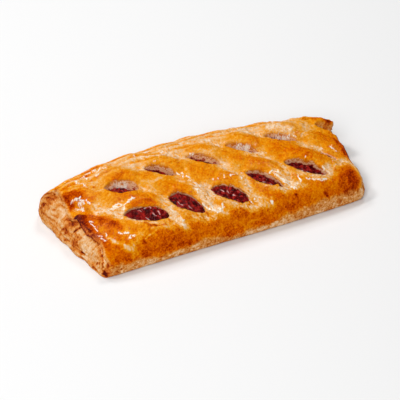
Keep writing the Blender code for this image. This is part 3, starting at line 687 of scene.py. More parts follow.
class MeshKit:
    """Ways to put whole arrays of points and faces into a mesh."""

    @staticmethod
    def grid_quads(index: Array) -> Array:
        """Quads between neighbours of a two-way array of point numbers.

        Args:
            index: Point numbers, one row for each step of the first parameter.

        Returns:
            An array of quads, turned from the first parameter to the second.
        """
        corners = (index[:-1, :-1], index[1:, :-1], index[1:, 1:], index[:-1, 1:])
        return np.stack([corner.ravel() for corner in corners], axis=1)

    @staticmethod
    def build(
        name: str, points: Array, quads: Array, caps: tuple[Array, ...], marks: Marks
    ) -> bpy.types.Object:
        """Make one closed object from points in millimetres.

        Args:
            name: Name of the piece.
            points: Three columns of millimetres in the pastry's own layout.
            quads: Four point numbers a face.
            caps: Extra flat faces with any number of corners.
            marks: Named values, one for each point, kept as attributes for the finish.

        Returns:
            The object, linked into the scene.
        """
        placed = (points - np.array([CENTRE[0], CENTRE[1], 0.0])) * MM
        sizes = np.concatenate([np.full(len(quads), 4), [len(cap) for cap in caps]]).astype(np.int32)
        loops = np.concatenate([quads.ravel(), *caps]).astype(np.int32)
        starts = np.concatenate([[0], np.cumsum(sizes)[:-1]]).astype(np.int32)
        mesh = bpy.data.meshes.new(name)
        mesh.vertices.add(len(placed))
        mesh.vertices.foreach_set("co", placed.astype(np.float32).ravel())
        mesh.loops.add(len(loops))
        mesh.loops.foreach_set("vertex_index", loops)
        mesh.polygons.add(len(sizes))
        mesh.polygons.foreach_set("loop_start", starts)
        mesh.update(calc_edges=True)
        mesh.validate()
        rounded = np.arange(len(mesh.polygons)) < len(mesh.polygons) - len(caps)
        mesh.polygons.foreach_set("use_smooth", rounded)
        for mark, values in marks.items():
            attribute = mesh.attributes.new(mark, "FLOAT", "POINT")
            attribute.data.foreach_set("value", np.asarray(values, dtype=np.float32).ravel())
        made = bpy.data.objects.new(name, mesh)
        bpy.context.scene.collection.objects.link(made)
        return made


@dataclass
class Crust:
    """The folded pastry: glazed top and sides, slits, layered ends and a flat bottom, as one closed skin."""

    form: PastryForm
    columns: int = 376
    rows: int = 160
    wall_rows: int = 34
    near_wall: float = 1.2
    far_wall: float = 1.6
    sheet_edge: float = 2.1
    sheet_edge_lip: float = 0.75
    floor_margin: float = 1.6
    dough: Grain = Grain(11)
    crumb: Grain = Grain(23)

    def row_shares(self) -> Array:
        """Shares across the top that step evenly along the dome's own curve, worked out at mid length."""
        x = 0.5 * self.form.length
        front = float(self.form.fold_side(np.array(x))) + self.near_wall
        back = float(self.form.seam_side(np.array(x))) - self.far_wall
        y = np.linspace(front, back, 3000)
        z = self.form.dome(np.full_like(y, x), y)
        run = np.concatenate([[0.0], np.cumsum(np.hypot(np.diff(y), np.diff(z)))])
        places = np.interp(np.linspace(0.0, run[-1], self.rows + 1), run, y)
        return (places - front) / (back - front)

    def pale_bands(self, x: Array, y: Array) -> Array:
        """Stretched pale dough between the slits' tips, with ragged edges: 0 off it to 1 on it."""
        spread = 1.25 + 0.45 * self.dough.layered(x, y, 4.0)
        bands = strongest(PALE_STRETCHES, x, y, np.maximum(spread, 0.3))
        along, across = diagonal(x, y)
        strands = self.crumb.layered(along / 2.6, across / 0.9, 1.0)
        return unit(bands * (1.0 + 0.55 * strands + 0.25 * self.crumb.layered(x, y, 2.4, 2)))

    def wrinkles(self, x: Array, y: Array, marks: Marks) -> Array:
        """Fine height of the top: brow ridges, seam-side striations, stretched folds and small blisters.

        Args:
            x: Places along the pastry.
            y: Places across it.
            marks: The finish's marks at the same places.

        Returns:
            Heights in millimetres to add to the main form.
        """
        pale = marks["pale"]
        height = -0.42 * pale + 0.22 * marks["painted_highlight"] + 0.16 * marks["line"]
        for slit in OPEN_SLITS:
            along, across = slit.place(x, y)
            edge = across - slit.half_opening(along)
            window = smooth(1.2, 2.4, edge) * smooth(7.0, 3.6, edge)
            window = window * np.exp(-((along / (0.55 * slit.length)) ** 4))
            phase = edge + 0.7 * self.dough.soft(x / 5.0, y / 5.0)
            height = height + 0.10 * window * np.cos(2.0 * np.pi * phase / 1.9)
        height = height + 0.30 * self.seam_folds(x, y)
        height = height + 0.45 * self.dough.layered(x, y + 70.0, 6.5, 2) * smooth(42.0, 50.0, y)
        slant, rise = diagonal(x, y)
        folds = self.dough.layered(slant / 2.4, rise / 0.9, 1.0)
        blisters = self.crumb.layered(x, y, 3.0)
        stretched = self.dough.layered(slant / 2.2, rise / 0.55, 1.0, 2)
        fine = self.crumb.layered(x, y, 1.5, 2)
        calm = 0.55 + 0.6 * pale
        return height + calm * (0.36 * folds + 0.50 * blisters + 0.20 * fine) + 0.32 * stretched * pale

    def press_groove(
        self, slit: Slit, along: Array, across: Array, points: Array, marks: Marks
    ) -> None:
        """Press a closed slit into the top grid as a narrow browned groove.

        Args:
            slit: The closed slit.
            along: Places along it.
            across: Places across it.
            points: The top grid's points, changed in place.
            marks: The top grid's marks, changed in place.
        """
        width = 0.75 if slit.opening > 1.5 else 0.5
        groove = hump(0.0, width, across) * smooth(0.54, 0.36, np.abs(along) / slit.length)
        points[..., 2] -= slit.near_depth * 0.6 * groove
        # The groove takes the darker slit-wall colour: juice stain and painted shade.
        raise_mark(marks, "inside", (0.2 + slit.stain) * groove)
        raise_mark(marks, "lip", (0.4 + slit.stain) * groove)

    def bare_layers(
        self,
        slit: Slit,
        places: tuple[Array, Array],
        wall: tuple[Array, Array],
        points: Array,
        marks: Marks,
    ) -> None:
        """Show the cut layers on the far wall of a slit that runs out through an end.

        Args:
            slit: The end's slit.
            places: The top grid's x and y before any slit was opened.
            wall: Share of the slit's depth at each place, and whether it is on the far side.
            points: The top grid's points, changed in place: the right end's flap is hollowed.
            marks: The top grid's marks, changed in place.
        """
        x, y = places
        drop, far_side = wall
        bared = 1.0 if slit.at_right else smooth(6.0, 3.0, x) * smooth(38.5, 36.0, y)
        cut = smooth(0.0, 0.3, drop) * far_side * bared
        stripes = 0.30 * self.crumb.layered(x / 0.9 + y / 2.5, y / 2.5, 1.0, 2)
        raise_mark(marks, "cut", cut)
        marks["bake"] = mix(marks["bake"], 0.40 + stripes, 0.8 * cut)
        points[..., 0] -= 3.6 * smooth(0.1, 0.7, drop) * smooth(132.0, 138.0, x) * slit.at_right

    def carve(self, points: Array, marks: Marks) -> None:
        """Open the slits in the top grid.

        In a slit's own section the inner part of its width becomes a floor, the outer part a wall that
        leans out to a rounded lip. Points beside the lip are drawn up to it, so that it stays crisp.
        Closed slits are a narrow groove.

        Args:
            points: The top grid's points, changed in place.
            marks: The top grid's marks, changed in place.
        """
        x, y = points[..., 0].copy(), points[..., 1].copy()
        uneven = 0.07 * self.crumb.soft(x / 1.4, y / 1.4) + 0.10 * self.dough.soft(x / 3.3, y / 3.3)
        for slit in ALL_SLITS:
            along, across = slit.place(x, y)
            if slit.kind is SlitKind.CLOSED:
                self.press_groove(slit, along, across, points, marks)
                continue
            side = np.where(across >= 0.0, 1.0, -1.0)
            folded_in = slit.nick_reach * hump(slit.nick, 0.8, along) * (side < 0.0)
            edge = np.maximum(slit.half_opening(along) * (1.0 + uneven) - folded_in, 0.0)
            beyond = np.abs(across) - edge
            squeeze = 1.0 - 0.7 * hump(0.0, 0.9, beyond) * smooth(0.3, 1.2, edge)
            reach = np.maximum(edge + beyond * squeeze, 0.0)
            inner = 0.5 * edge
            depth = (slit.far_depth * slit.sink(along) + self.floor_margin) * smooth(0.1, 1.0, edge)
            if slit.kind is SlitKind.END:
                depth = slit.far_depth * smooth(0.1, 1.6, edge)
            lean = np.where(side > 0.0, 0.34, 0.06) * slit.far_depth
            foot = np.maximum(edge - np.minimum(lean, 0.6 * edge), 0.0)
            wall_share = unit((reach - inner) / np.maximum(edge - inner, 1e-6))
            floor_reach = reach / np.maximum(inner, 1e-6) * foot
            wall_reach = foot + (edge - foot) * wall_share**2.0
            drop = 1.0 - 0.35 * smooth(0.0, 1.0, wall_share) - 0.65 * wall_share**1.3
            inside = reach < edge
            flat = reach < inner
            new_reach = np.where(inside, np.where(flat, floor_reach, wall_reach), reach)
            drop = np.where(flat, 1.0, drop) * inside
            dx, dy = slit.shift(np.zeros_like(across), (new_reach - np.abs(across)) * side)
            near = (np.abs(along) < 0.5 * slit.length + 1.0) & (np.abs(across) < edge + 2.5)
            points[..., 0] += np.where(near, dx, 0.0)
            points[..., 1] += np.where(near, dy, 0.0)
            points[..., 2] -= depth * drop
            points[..., 2] -= 0.20 * hump(0.0, 0.45, reach - edge) * smooth(0.3, 1.5, edge)
            if slit.kind is SlitKind.END:
                self.bare_layers(slit, (x, y), (drop, side > 0.0), points, marks)
                continue
            brink = unit(0.5 + 0.6 * (edge - reach)) * smooth(0.0, 0.4, edge)
            raise_mark(marks, "lip", np.where(near, brink, 0.0))
            # Share of the depth down the wall: the finish darkens the wall with it, partly as painted shade.
            fall = depth * drop / max(slit.far_depth, 1.5)
            raise_mark(marks, "inside", unit(0.1 * inside + 0.9 * fall) * inside)
            raise_mark(marks, "stain", slit.stain * smooth(0.0, 0.25, drop) * inside)
            on_wall = smooth(0.0, 0.15, drop) * inside
            # Painted highlights on the slit's wall: near-white glaze light kept or painted there.
            painted_wall_highlight = slit.wall_highlight * on_wall * hump(-0.05 * slit.length, 0.36 * slit.length, along)
            marks["painted_highlight"] = marks["painted_highlight"] * (1.0 - (1.0 - slit.wall_highlight) * on_wall)
            raise_mark(marks, "painted_highlight", 0.56 * painted_wall_highlight)

    def seam_folds(self, x: Array, y: Array) -> Array:
        """Long curved folds along the seam side, from -1 in a valley to 1 on a ridge, none elsewhere."""
        wander = 1.6 * self.dough.layered(x, y, 10.0)
        return np.sin(2.0 * np.pi * (y + 0.12 * x + wander) / 3.1) * smooth(42.0, 47.0, y)

    def hem(self, x: Array, warped_x: Array, z: Array, y: Array) -> tuple[Array, Array]:
        """The pale band above the floor, low where the side bulges and tall towards the right.

        Args:
            x: Places along the pastry.
            warped_x: The same places, moved a little so that edges are ragged.
            z: Heights.
            y: Places across it.

        Returns:
            Share of pale hem, and its tone from 0, cream, to 1, brown. Thin lines where a noise is near 0
            curl through its right part.
        """
        height = 5.2 - 1.0 * hump(33.0, 9.0, x) + 0.3 * hump(53.0, 5.0, x) - 2.9 * hump(69.0, 7.0, x)
        height = height - 1.4 * hump(86.0, 6.0, x) + 1.9 * smooth(92.0, 116.0, x)
        height = height + 1.1 * self.dough.layered(x, z * 1.5, 5.0)
        height = height + 0.9 * self.crumb.layered(x, z, 1.8, 2)
        swirl = hump(0.0, 0.10, self.dough.layered(warped_x / 1.2, z + 0.3 * y, 3.4, 2))
        tone = 0.35 + 0.34 * self.crumb.layered(x, z + y, 1.5)
        tone = tone + 0.20 * self.dough.layered(x, z + y, 6.0, 2)
        tone = tone + 0.05 * smooth(66.0, 86.0, x) - 0.16 * hump(86.0, 7.0, x) + 0.26 * smooth(12.0, 3.0, x)
        tone = tone + 0.12 * smooth(2.5, 6.5, z) * smooth(80.0, 105.0, x)
        return smooth(1.2, -1.2, z - height), tone - 0.30 * swirl * smooth(66.0, 80.0, x)

    def painted_highlights(self, x: Array, y: Array, crisp: Array) -> Array:
        """Painted highlights of wet glaze, crackled: the drawn flecks, and round them the thin zero lines of
        a noise.

        Args:
            x: Places along the pastry.
            y: Places across it.
            crisp: How wide the flecks are at each place.

        Returns:
            Values from 0 to 1.
        """
        across, up = 0.893 * x - 0.451 * y, 0.451 * x + 0.893 * y
        ridge = hump(0.0, 0.15, self.dough.layered(across / 2.2, up / 1.2, 1.0, 2))
        drawn = smooth(0.30, 0.80, strongest(HIGHLIGHT_FLECKS, x, y, crisp))
        return np.maximum(drawn, 0.85 * smooth(0.34, 0.70, ridge * strongest(HIGHLIGHT_FLECKS, x, y, 2.6 * crisp)))

    def top_marks(self, x: Array, y: Array, z: Array) -> Marks:
        """How dark, pale, raw and glazed each place of the top and sides is, and where glaze highlights are
        painted.

        Args:
            x: Places along the pastry.
            y: Places across it.
            z: Heights.

        Returns:
            Values from 0 to 1 under the names the finish reads.
        """
        form = self.form
        spread = np.maximum(1.0 + 0.30 * self.dough.layered(x, y + z, 4.0), 0.3)
        inland = y - form.fold_side(x) + 0.9 * self.dough.layered(x, y + z, 4.0, 2)
        brink = 2.6 + 3.0 * hump(108.0, 9.0, x) + 1.6 * hump(32.0, 5.0, x)
        pale = self.pale_bands(x, y) * smooth(brink - 1.4, brink + 0.6, inland) * smooth(4.0, 7.0, z)
        bake = 0.49 + 0.11 * form.strand(x, y) + summed(BAKED_STROKES, x, y, spread)
        back = smooth(17.0, 10.0, z) * smooth(50.0, 55.0, y)
        bake = bake - 0.05 * smooth(22.0, 30.0, y) - 0.08 * smooth(38.0, 48.0, y) + 0.22 * back
        # Seam-side folds: darker in their valleys and paler on their ridges, painted shade and painted
        # highlight.
        bake = bake - 0.20 * (1.0 - 0.85 * back) * self.seam_folds(x, y)
        side = smooth(9.5, 2.5, y) * smooth(1.0, 3.0, z)
        bake = bake + (0.19 - 0.05 * smooth(105.0, 120.0, x)) * side
        roll = 0.13 * hump(3.0, 3.2, y) * smooth(9.0, 12.0, z)
        bake = bake + roll * smooth(36.0, 44.0, x) * smooth(96.0, 84.0, x)
        on_wall = smooth(3.0, 0.5, y - form.fold_side(x))
        ragged_x = x + 0.6 * self.crumb.layered(x, y + z, 2.4, 2)
        ragged_y = y + 0.6 * self.crumb.layered(x + 50.0, y + z, 2.4, 2)
        ragged_z = z + 0.6 * self.crumb.layered(x, y + z + 50.0, 2.4, 2)
        wall_dark = summed(WALL_DARKS, ragged_x, ragged_z, spread) * on_wall
        wall_pale = strongest(WALL_PALES, ragged_x, ragged_z, spread) * on_wall
        bake = (bake + wall_dark) * (1.0 - 0.75 * wall_pale) + 0.22 * wall_pale
        bake = bake + 0.09 * self.dough.layered(x + 0.3 * z, y + z, 7.0)
        bake = bake + 0.06 * self.crumb.layered(x, y + z, 2.4)
        bake = bake + 0.08 * self.crumb.layered(x + 30.0, y + z, 1.3, 2)
        creases = self.crumb.layered((x + 0.8 * z) / 3.2, (z - 0.8 * x) / 0.9 + 40.0, 1.0)
        bake = bake + 0.08 * side * creases
        share = np.clip(1.10 * pale, 0.0, 0.96)
        bake = mix(bake, 0.14, share)
        crisp = 1.0 + 0.35 * self.crumb.layered(x, y, 1.6, 2)
        lines = strongest(LIGHT_LINES, ragged_x, ragged_y, crisp) * smooth(3.0, 5.0, z)
        lines = lines * (0.5 + 0.7 * smooth(-0.35, 0.35, self.crumb.layered(x, y + 20.0, 1.3, 2)))
        # Painted highlights: the mask of near-white glaze glints that the finish paints into the colour.
        painted_highlight = self.painted_highlights(ragged_x, ragged_y, crisp) * smooth(4.0, 7.0, z)
        bake = bake * (1.0 - 0.85 * lines) + 0.12 * lines
        # Dark lines: browning, and painted shade along cracks and lips.
        bake = bake + summed(DARK_AND_SHADE_LINES, ragged_x, ragged_y, crisp) * smooth(4.0, 7.0, z)
        raw, tone = self.hem(x, ragged_x, z, y)
        tone = (tone + 0.8 * wall_dark) * (1.0 - wall_pale) + 0.1 * wall_pale
        bake = mix(bake, tone, raw)
        wet = 0.06 + np.clip(0.65 * pale + 0.5 * strongest(WET_STROKES, x, y, spread), 0.0, 0.9)
        wet = wet * (1.0 - 0.75 * side) * (1.0 - 0.6 * raw) * (1.0 - 0.85 * smooth(0.75, 1.0, bake))
        wet = np.maximum(wet, 0.9 * painted_highlight)
        marks = {"bake": bake, "raw": raw, "glaze": wet, "pale": pale, "painted_highlight": painted_highlight, "line": lines}
        marks.update({name: np.zeros(np.shape(bake)) for name in ("cut", "inside", "lip", "stain")})
        marks["bake"] = 0.9 * np.tanh(np.clip(bake, 0.0, 2.0) / 0.9) * 1.12
        return marks

    def top_grid(self) -> tuple[Array, Marks]:
        """Points and marks of the top, from the near wall's upper edge to the far wall's."""
        share = self.row_shares()[None, :]
        u = np.linspace(0.0, 1.0, self.columns + 1)[:, None]
        x = self.form.length * u + 0.0 * share
        for _ in range(4):
            front = self.form.fold_side(x) + self.near_wall
            back = self.form.seam_side(x) - self.far_wall
            y = front + (back - front) * share
            height = self.form.surface(x, y)
            left = self.form.left_end(y, height, height)
            right = self.form.right_end(y, height, height)
            x = left + (right - left) * u
        held = smooth(0.0, 3.0, y - front) * smooth(0.0, 3.0, back - y)
        z = self.form.surface(x, y)
        marks = self.top_marks(x, y, z)
        z = z + self.wrinkles(x, y, marks) * (0.35 + 0.65 * held)
        points = np.stack([x, y, z], axis=-1)
        self.carve(points, marks)
        return points, marks

    def wall_grid(self, top_edge: Array, far: bool) -> tuple[Array, Marks]:
        """Points and marks of one side wall, its rows from the bottom to just under the top's edge.

        The wall is the superellipse shoulder continued down, y = width (1 - (1 - (z/H)^q)^(1/p)), with
        its foot tucked in and, on the seam side, the bottom sheet jutting out.

        Args:
            top_edge: The top grid's border points on this side.
            far: Whether this is the seam side.

        Returns:
            Points and marks, columns by wall rows.
        """
        form = self.form
        w = (np.arange(self.wall_rows) / self.wall_rows)[None, :]
        u = np.linspace(0.0, 1.0, self.columns + 1)[:, None]
        edge_x, edge_y, edge_z = (top_edge[:, None, axis] for axis in range(3))
        z = edge_z * w
        width, p, q = (form.seam_shoulder, 2.4, 2.5) if far else (form.fold_shoulder, 2.5, 2.7)
        full = form.full_height(edge_x, edge_y)

        def setback(height: Array) -> Array:
            """How far the shoulder's curve lies inside the side at a height."""
            share = unit(1.0 - unit(height / full) ** q)
            return width * (1.0 - share ** (1.0 / p))

        side = form.seam_side(edge_x) if far else form.fold_side(edge_x)
        scale = np.abs(edge_y - side) / np.maximum(setback(edge_z), 0.05)
        tuck = 0.7 * smooth(1.1, 0.0, z) ** 2
        swell = 0.5 * np.sin(np.pi * w**0.7)
        ripple = 0.22 * self.dough.layered(edge_x, z * 1.6 + 40.0 * far, 5.0)
        layers = self.crumb.layered(edge_x / 3.2, z / 0.8 + 90.0 * far, 1.0)
        ripple = ripple + (0.07 + 0.10 * smooth(6.5, 3.5, z)) * layers
        ledge = 0.8 * smooth(4.2, 3.0, z) * far
        inward = setback(z) * scale + tuck - swell - ledge + ripple * np.sin(np.pi * w) ** 0.5
        y = side - inward if far else side + inward
        left = form.left_end(y, z, edge_z)
        right = form.right_end(y, z, edge_z)
        top_left = form.left_end(edge_y, edge_z, edge_z)
        top_right = form.right_end(edge_y, edge_z, edge_z)
        x = left + (right - left) * u
        x = x + (edge_x - (top_left + (top_right - top_left) * u)) * w
        return np.stack([x, y, z], axis=-1), self.top_marks(x, y, z)

    def end_relief(self, y: Array, z: Array, height: Array) -> tuple[Array, Array, Array]:
        """How far an end face's layers lie back, how brown they are and how glazed.

        Args:
            y: Places across the pastry.
            z: Heights on the face.
            height: Height of the top sheet's edge above each place.

        Returns:
            Inward move in millimetres, browning and glaze from 0 to 1.
        """
        under = height - z
        spread = np.maximum(1.0 + 0.30 * self.dough.layered(y * 1.3, z * 1.7, 3.0), 0.3)
        wander = 0.5 * self.dough.layered(y, z, 6.0)
        # Darks: browning, and painted shade in the cracks they sink into the face.
        darks = summed(END_DARKS_AND_SHADE, y, z, spread)
        pales = strongest(END_PALES, y, z, spread)
        gap_depth = 0.35 + 0.65 * hump(22.0, 12.0, y)
        shaded_gap = gap_depth * hump(self.form.bottom_sheet - 0.1 + 0.3 * wander, 0.36, z)
        thick = self.sheet_edge + 1.1 * smooth(11.0, 17.0, y) * smooth(32.0, 30.0, y)
        edge = smooth(thick + 0.4, thick - 0.4, under)
        shadow = 0.55 * hump(thick + 0.9, 0.8, under)
        bulges = 0.60 * self.dough.layered(y, z * 1.5, 5.5)
        tilt = 0.35 * smooth(34.0, 44.0, y)
        layers = self.crumb.layered((y + tilt * z) / 3.4, (z - tilt * y) / 0.75, 1.0)
        chips = self.crumb.layered(y, z, 1.6, 2)
        move = 1.1 * shaded_gap - self.sheet_edge_lip * edge + shadow + bulges
        move = move + 0.18 * layers + 0.10 * chips
        move = move + 0.45 * np.clip(darks, 0.0, 1.2) * (1.0 - edge) - 0.3 * pales
        calm = 1.0 - 0.5 * smooth(33.0, 38.0, y)
        brown = 0.33 + 0.08 * smooth(25.0, 31.0, y) + 0.16 * self.dough.layered(y + 30.0, z * 1.3, 4.0)
        flames = self.crumb.layered((y + 0.4 * z) / 1.0, (z - 0.4 * y) / 3.0 + 60.0, 1.0)
        inner = smooth(30.0, 27.0, y) * smooth(2.4, 3.4, z)
        brown = brown + 0.24 * layers * (1.0 - inner) + 0.30 * flames * (0.5 + 0.5 * inner)
        brown = brown - 0.35 * darks * (1.0 - calm)
        brown = brown + 0.14 * self.crumb.layered(y, z + 50.0, 1.3, 2) + 0.14 * smooth(18.0, 26.0, y) * inner
        brown = brown + 0.34 * smooth(5.0, 1.0, y) - 0.06 * smooth(38.0, 42.0, y) * smooth(6.0, 8.0, z)
        # Painted shade: the gap at the top of the bottom sheet is a little darker.
        brown = brown + 0.10 * shaded_gap + 0.10 * edge + 0.85 * darks - 0.5 * pales
        band = edge * smooth(9.0, 15.0, y) * smooth(32.0, 31.0, y)
        rims = hump(0.0, 0.8, under) + hump(thick, 0.9, under)
        charred = 0.74 + 0.18 * smooth(14.0, 30.0, y) + 0.22 * rims
        brown = brown * (1.0 - 0.95 * band) + (charred + 0.10 * layers + 0.10 * flames) * 0.95 * band
        rim = edge * (smooth(12.0, 8.0, y) + smooth(32.0, 35.0, y))
        browned = 0.28 + 0.34 * smooth(42.0, 46.0, y) + 0.22 * layers + 0.3 * hump(thick, 0.6, under)
        brown = brown * (1.0 - 0.6 * rim) + browned * 0.6 * rim
        glaze = 0.12 + 0.2 * edge
        return move, unit(brown), glaze

    def end_grid(self, top: Array, near: Array, far: Array, right: bool) -> tuple[Array, Marks]:
        """Points and marks of the inside of one end face, between the top's border and both walls' borders.

        Args:
            top: Border points along the top sheet's edge.
            near: Border points up the near wall, without the top one.
            far: Border points up the far wall, without the top one.
            right: Whether this is the right end.

        Returns:
            Points and marks, rows across by wall rows, without the borders.
        """
        form = self.form
        w = (np.arange(self.wall_rows) / self.wall_rows)[None, :]
        edge = top[1:-1]
        share = (edge[:, 1] - top[0, 1]) / (top[-1, 1] - top[0, 1])
        share = unit(share)[:, None]
        y = near[None, :, 1] + (far[None, :, 1] - near[None, :, 1]) * share
        z = edge[:, None, 2] * w
        height = edge[:, None, 2] + 0.0 * w
        face = form.right_end if right else form.left_end
        start = face(y, z, height)
        lift = edge[:, None, 0] - face(edge[:, None, 1], height, height)
        inward, brown, glaze = self.end_relief(y, z, height)
        inward = inward * smooth(0.0, 0.05, share) * smooth(1.0, 0.95, share)
        inward = inward * smooth(1.0, 0.97, w)
        x = start + lift * w + (-inward if right else inward)
        marks = self.top_marks(x, y, z)
        fade = smooth(0.0, 0.02, share) * smooth(1.0, 0.98, share) * np.ones_like(w)
        marks["bake"] = mix(marks["bake"], brown, fade)
        marks["raw"] = marks["raw"] * (1.0 - fade)
        marks["painted_highlight"] = marks["painted_highlight"] * (1.0 - fade)
        marks["cut"] = fade
        marks["glaze"] = glaze * np.ones_like(fade)
        return np.stack([x, y, z], axis=-1), marks

    def build(self) -> bpy.types.Object:
        """Join the top, both walls, both ends and the bottom into one closed object."""
        top, top_marks = self.top_grid()
        near, near_marks = self.wall_grid(top[:, 0], False)
        far, far_marks = self.wall_grid(top[:, -1], True)
        left, left_marks = self.end_grid(top[0], near[0], far[0], False)
        right, right_marks = self.end_grid(top[-1], near[-1], far[-1], True)
        blocks = (top, near, far, left, right)
        starts = np.concatenate([[0], np.cumsum([block.shape[0] * block.shape[1] for block in blocks])])
        numbers = [
            np.arange(start, end).reshape(block.shape[:2])
            for start, end, block in zip(starts[:-1], starts[1:], blocks)
        ]
        near_index = np.concatenate([numbers[1], numbers[0][:, :1]], axis=1)
        far_index = np.concatenate([numbers[2], numbers[0][:, -1:]], axis=1)
        ends = []
        for column, inside in ((0, numbers[3]), (-1, numbers[4])):
            body = np.concatenate([inside, numbers[0][column, 1:-1, None]], axis=1)
            ends.append(np.concatenate([near_index[column][None], body, far_index[column][None]], axis=0))
        quads = np.concatenate(
            [
                MeshKit.grid_quads(numbers[0]),
                MeshKit.grid_quads(near_index),
                MeshKit.grid_quads(far_index)[:, ::-1],
                MeshKit.grid_quads(ends[0])[:, ::-1],
                MeshKit.grid_quads(ends[1]),
            ]
        )
        bottom = np.concatenate(
            [near_index[:, 0], ends[1][1:, 0], far_index[-2::-1, 0], ends[0][-2:0:-1, 0]]
        )
        points = np.concatenate([block.reshape(-1, 3) for block in blocks])
        parts = (top_marks, near_marks, far_marks, left_marks, right_marks)
        marks = {
            name: np.concatenate([unit(part[name]).ravel() for part in parts])
            for name in ("bake", "raw", "glaze", "pale", "painted_highlight", "cut", "inside", "lip", "stain")
        }
        return MeshKit.build("pastry_crust", points, quads, (bottom[::-1],), marks)


@dataclass
class BerryFilling:
    """The filling: a slab of soft drupelets in thick juice that runs through under both rows of slits."""

    form: PastryForm
    left: float = 14.0
    right: float = 128.0
    front: float = 6.8
    back: float = 50.0
    floor: float = 3.6
    columns: int = 420
    rows: int = 164
    wall_rows: int = 3
    drupelet: float = 1.4
    drupelet_height: float = 0.7
    fruit: Grain = Grain(41)
    syrup: Grain = Grain(57)

    def level(self, x: Array, y: Array) -> Array:
        """Height of the filling: at each open slit a set depth under its near lip and under its far lip."""
        ground = self.form.surface(x, y) - 4.4
        for slit in OPEN_SLITS:
            along, across = slit.place(x, y)
            held = np.clip(along, -0.45 * slit.length, 0.45 * slit.length)
            edge = slit.half_opening(held)
            lips = []
            for side in (-1.0, 1.0):
                dx, dy = slit.shift(held, side * (edge + 0.3))
                lips.append(self.form.surface(slit.x + dx, slit.y + dy))
            share = unit(0.5 + 0.5 * across / (edge + 0.3))
            sink = slit.sink(along)
            near, far = lips[0] - slit.near_depth * sink, lips[1] - slit.far_depth * sink
            level = mix(near, far, share)
            reach = hump(0.0, 0.60 * slit.length, along) * hump(0.0, 0.5 * slit.opening + 1.8, across)
            reach = unit(1.6 * reach)
            ground = mix(ground, level, reach)
        return ground

    def fruit_relief(self, x: Array, y: Array) -> tuple[Array, Array, Array]:
        """Round drupelets of two sizes: each a cap, 1 - d^2, over its nearest scattered point.

        Args:
            x: Places along the pastry.
            y: Places across it.

        Returns:
            Height, how deep in a gap each place lies, and each drupelet's own random number.
        """
        ragged_x = x + 0.5 * self.syrup.soft(x / 3.0, y / 3.0)
        ragged_y = y + 0.5 * self.syrup.soft(x / 3.0 + 40.0, y / 3.0)
        first, second, own = self.fruit.cells(ragged_x, ragged_y, self.drupelet)
        cap = unit(1.0 - (first / 0.75) ** 2)
        # Painted shade: the finish darkens these gaps between drupelets to near black.
        shaded_gap = smooth(0.22, 0.02, second - first)
        lumps = self.syrup.layered(x, y, 5.0)
        height = self.drupelet_height * (cap**0.6 * (0.55 + 0.65 * own)) + 0.45 * lumps
        return height, shaded_gap, own

    def build(self) -> bpy.types.Object:
        """Make the closed slab: a bumpy top, short walls and a flat underside."""
        u = np.linspace(0.0, 1.0, self.columns + 1)[:, None]
        v = np.linspace(0.0, 1.0, self.rows + 1)[None, :]
        x = self.left + (self.right - self.left) * u + 0.0 * v
        y = self.front + (self.back - self.front) * v + 0.0 * u
        height, shaded_gap, own = self.fruit_relief(x, y)
        z = self.level(x, y) + height - 0.55
        ring = np.concatenate(
            [
                np.arange(self.columns + 1) * (self.rows + 1),
                self.columns * (self.rows + 1) + np.arange(1, self.rows + 1),
                np.arange(self.columns - 1, -1, -1) * (self.rows + 1) + self.rows,
                np.arange(self.rows - 1, 0, -1),
            ]
        )
        top = np.stack([x, y, z], axis=-1).reshape(-1, 3)
        border = top[ring]
        w = (np.arange(self.wall_rows) / self.wall_rows)[:, None]
        walls = np.stack(
            [
                border[None, :, 0] + 0.0 * w,
                border[None, :, 1] + 0.0 * w,
                self.floor + (border[None, :, 2] - self.floor) * w,
            ],
            axis=-1,
        ).reshape(-1, 3)
        numbers = len(top) + np.arange(self.wall_rows * len(ring)).reshape(self.wall_rows, -1)
        columns = np.concatenate([numbers, ring[None, :]], axis=0)
        columns = np.concatenate([columns, columns[:, :1]], axis=1)
        grid = np.arange(len(top)).reshape(self.columns + 1, self.rows + 1)
        quads = np.concatenate([MeshKit.grid_quads(grid), MeshKit.grid_quads(columns)[:, ::-1]])
        # Painted highlights on the juice, as a mask.
        juice_highlight = smooth(0.3, 0.8, strongest(JUICE_HIGHLIGHTS, x, y, 1.0 + 0.4 * self.syrup.layered(x, y, 1.0, 2)))
        marks = {
            name: np.concatenate([value.ravel(), np.zeros(len(walls))])
            for name, value in (("shaded_gap", shaded_gap), ("own", own), ("juice_highlight", juice_highlight))
        }
        points = np.concatenate([top, walls])
        return MeshKit.build("berry_filling", points, quads, (numbers[0][::-1],), marks)


@dataclass(frozen=True)
class Signal:
    """A value on its way through a shader's nodes, taken further by plain arithmetic."""

    wiring: "Wiring"
    socket: bpy.types.NodeSocket

    def maths(self, operation: str, first: object, second: object) -> "Signal":
        """One arithmetic node on signals or plain numbers."""
        made = self.wiring.node("ShaderNodeMath", operation=operation)
        self.wiring.feed(first, made.inputs[0])
        self.wiring.feed(second, made.inputs[1])
        return Signal(self.wiring, made.outputs[0])

    def __add__(self, other: object) -> "Signal":
        """This plus the other."""
        return self.maths("ADD", self, other)

    def __radd__(self, other: object) -> "Signal":
        """The other plus this."""
        return self.maths("ADD", other, self)

    def __sub__(self, other: object) -> "Signal":
        """This less the other."""
        return self.maths("SUBTRACT", self, other)

    def __rsub__(self, other: object) -> "Signal":
        """The other less this."""
        return self.maths("SUBTRACT", other, self)

    def __mul__(self, other: object) -> "Signal":
        """This times the other."""
        return self.maths("MULTIPLY", self, other)

    def clamped(self) -> "Signal":
        """The same value, kept from 0 to 1 by the node that makes it."""
        self.socket.node.use_clamp = True
        return self

    def rising(self, start: float, gain: float) -> "Signal":
        """0 up to the start, and from there up to 1 at the given gain."""
        return ((self - start) * gain).clamped()


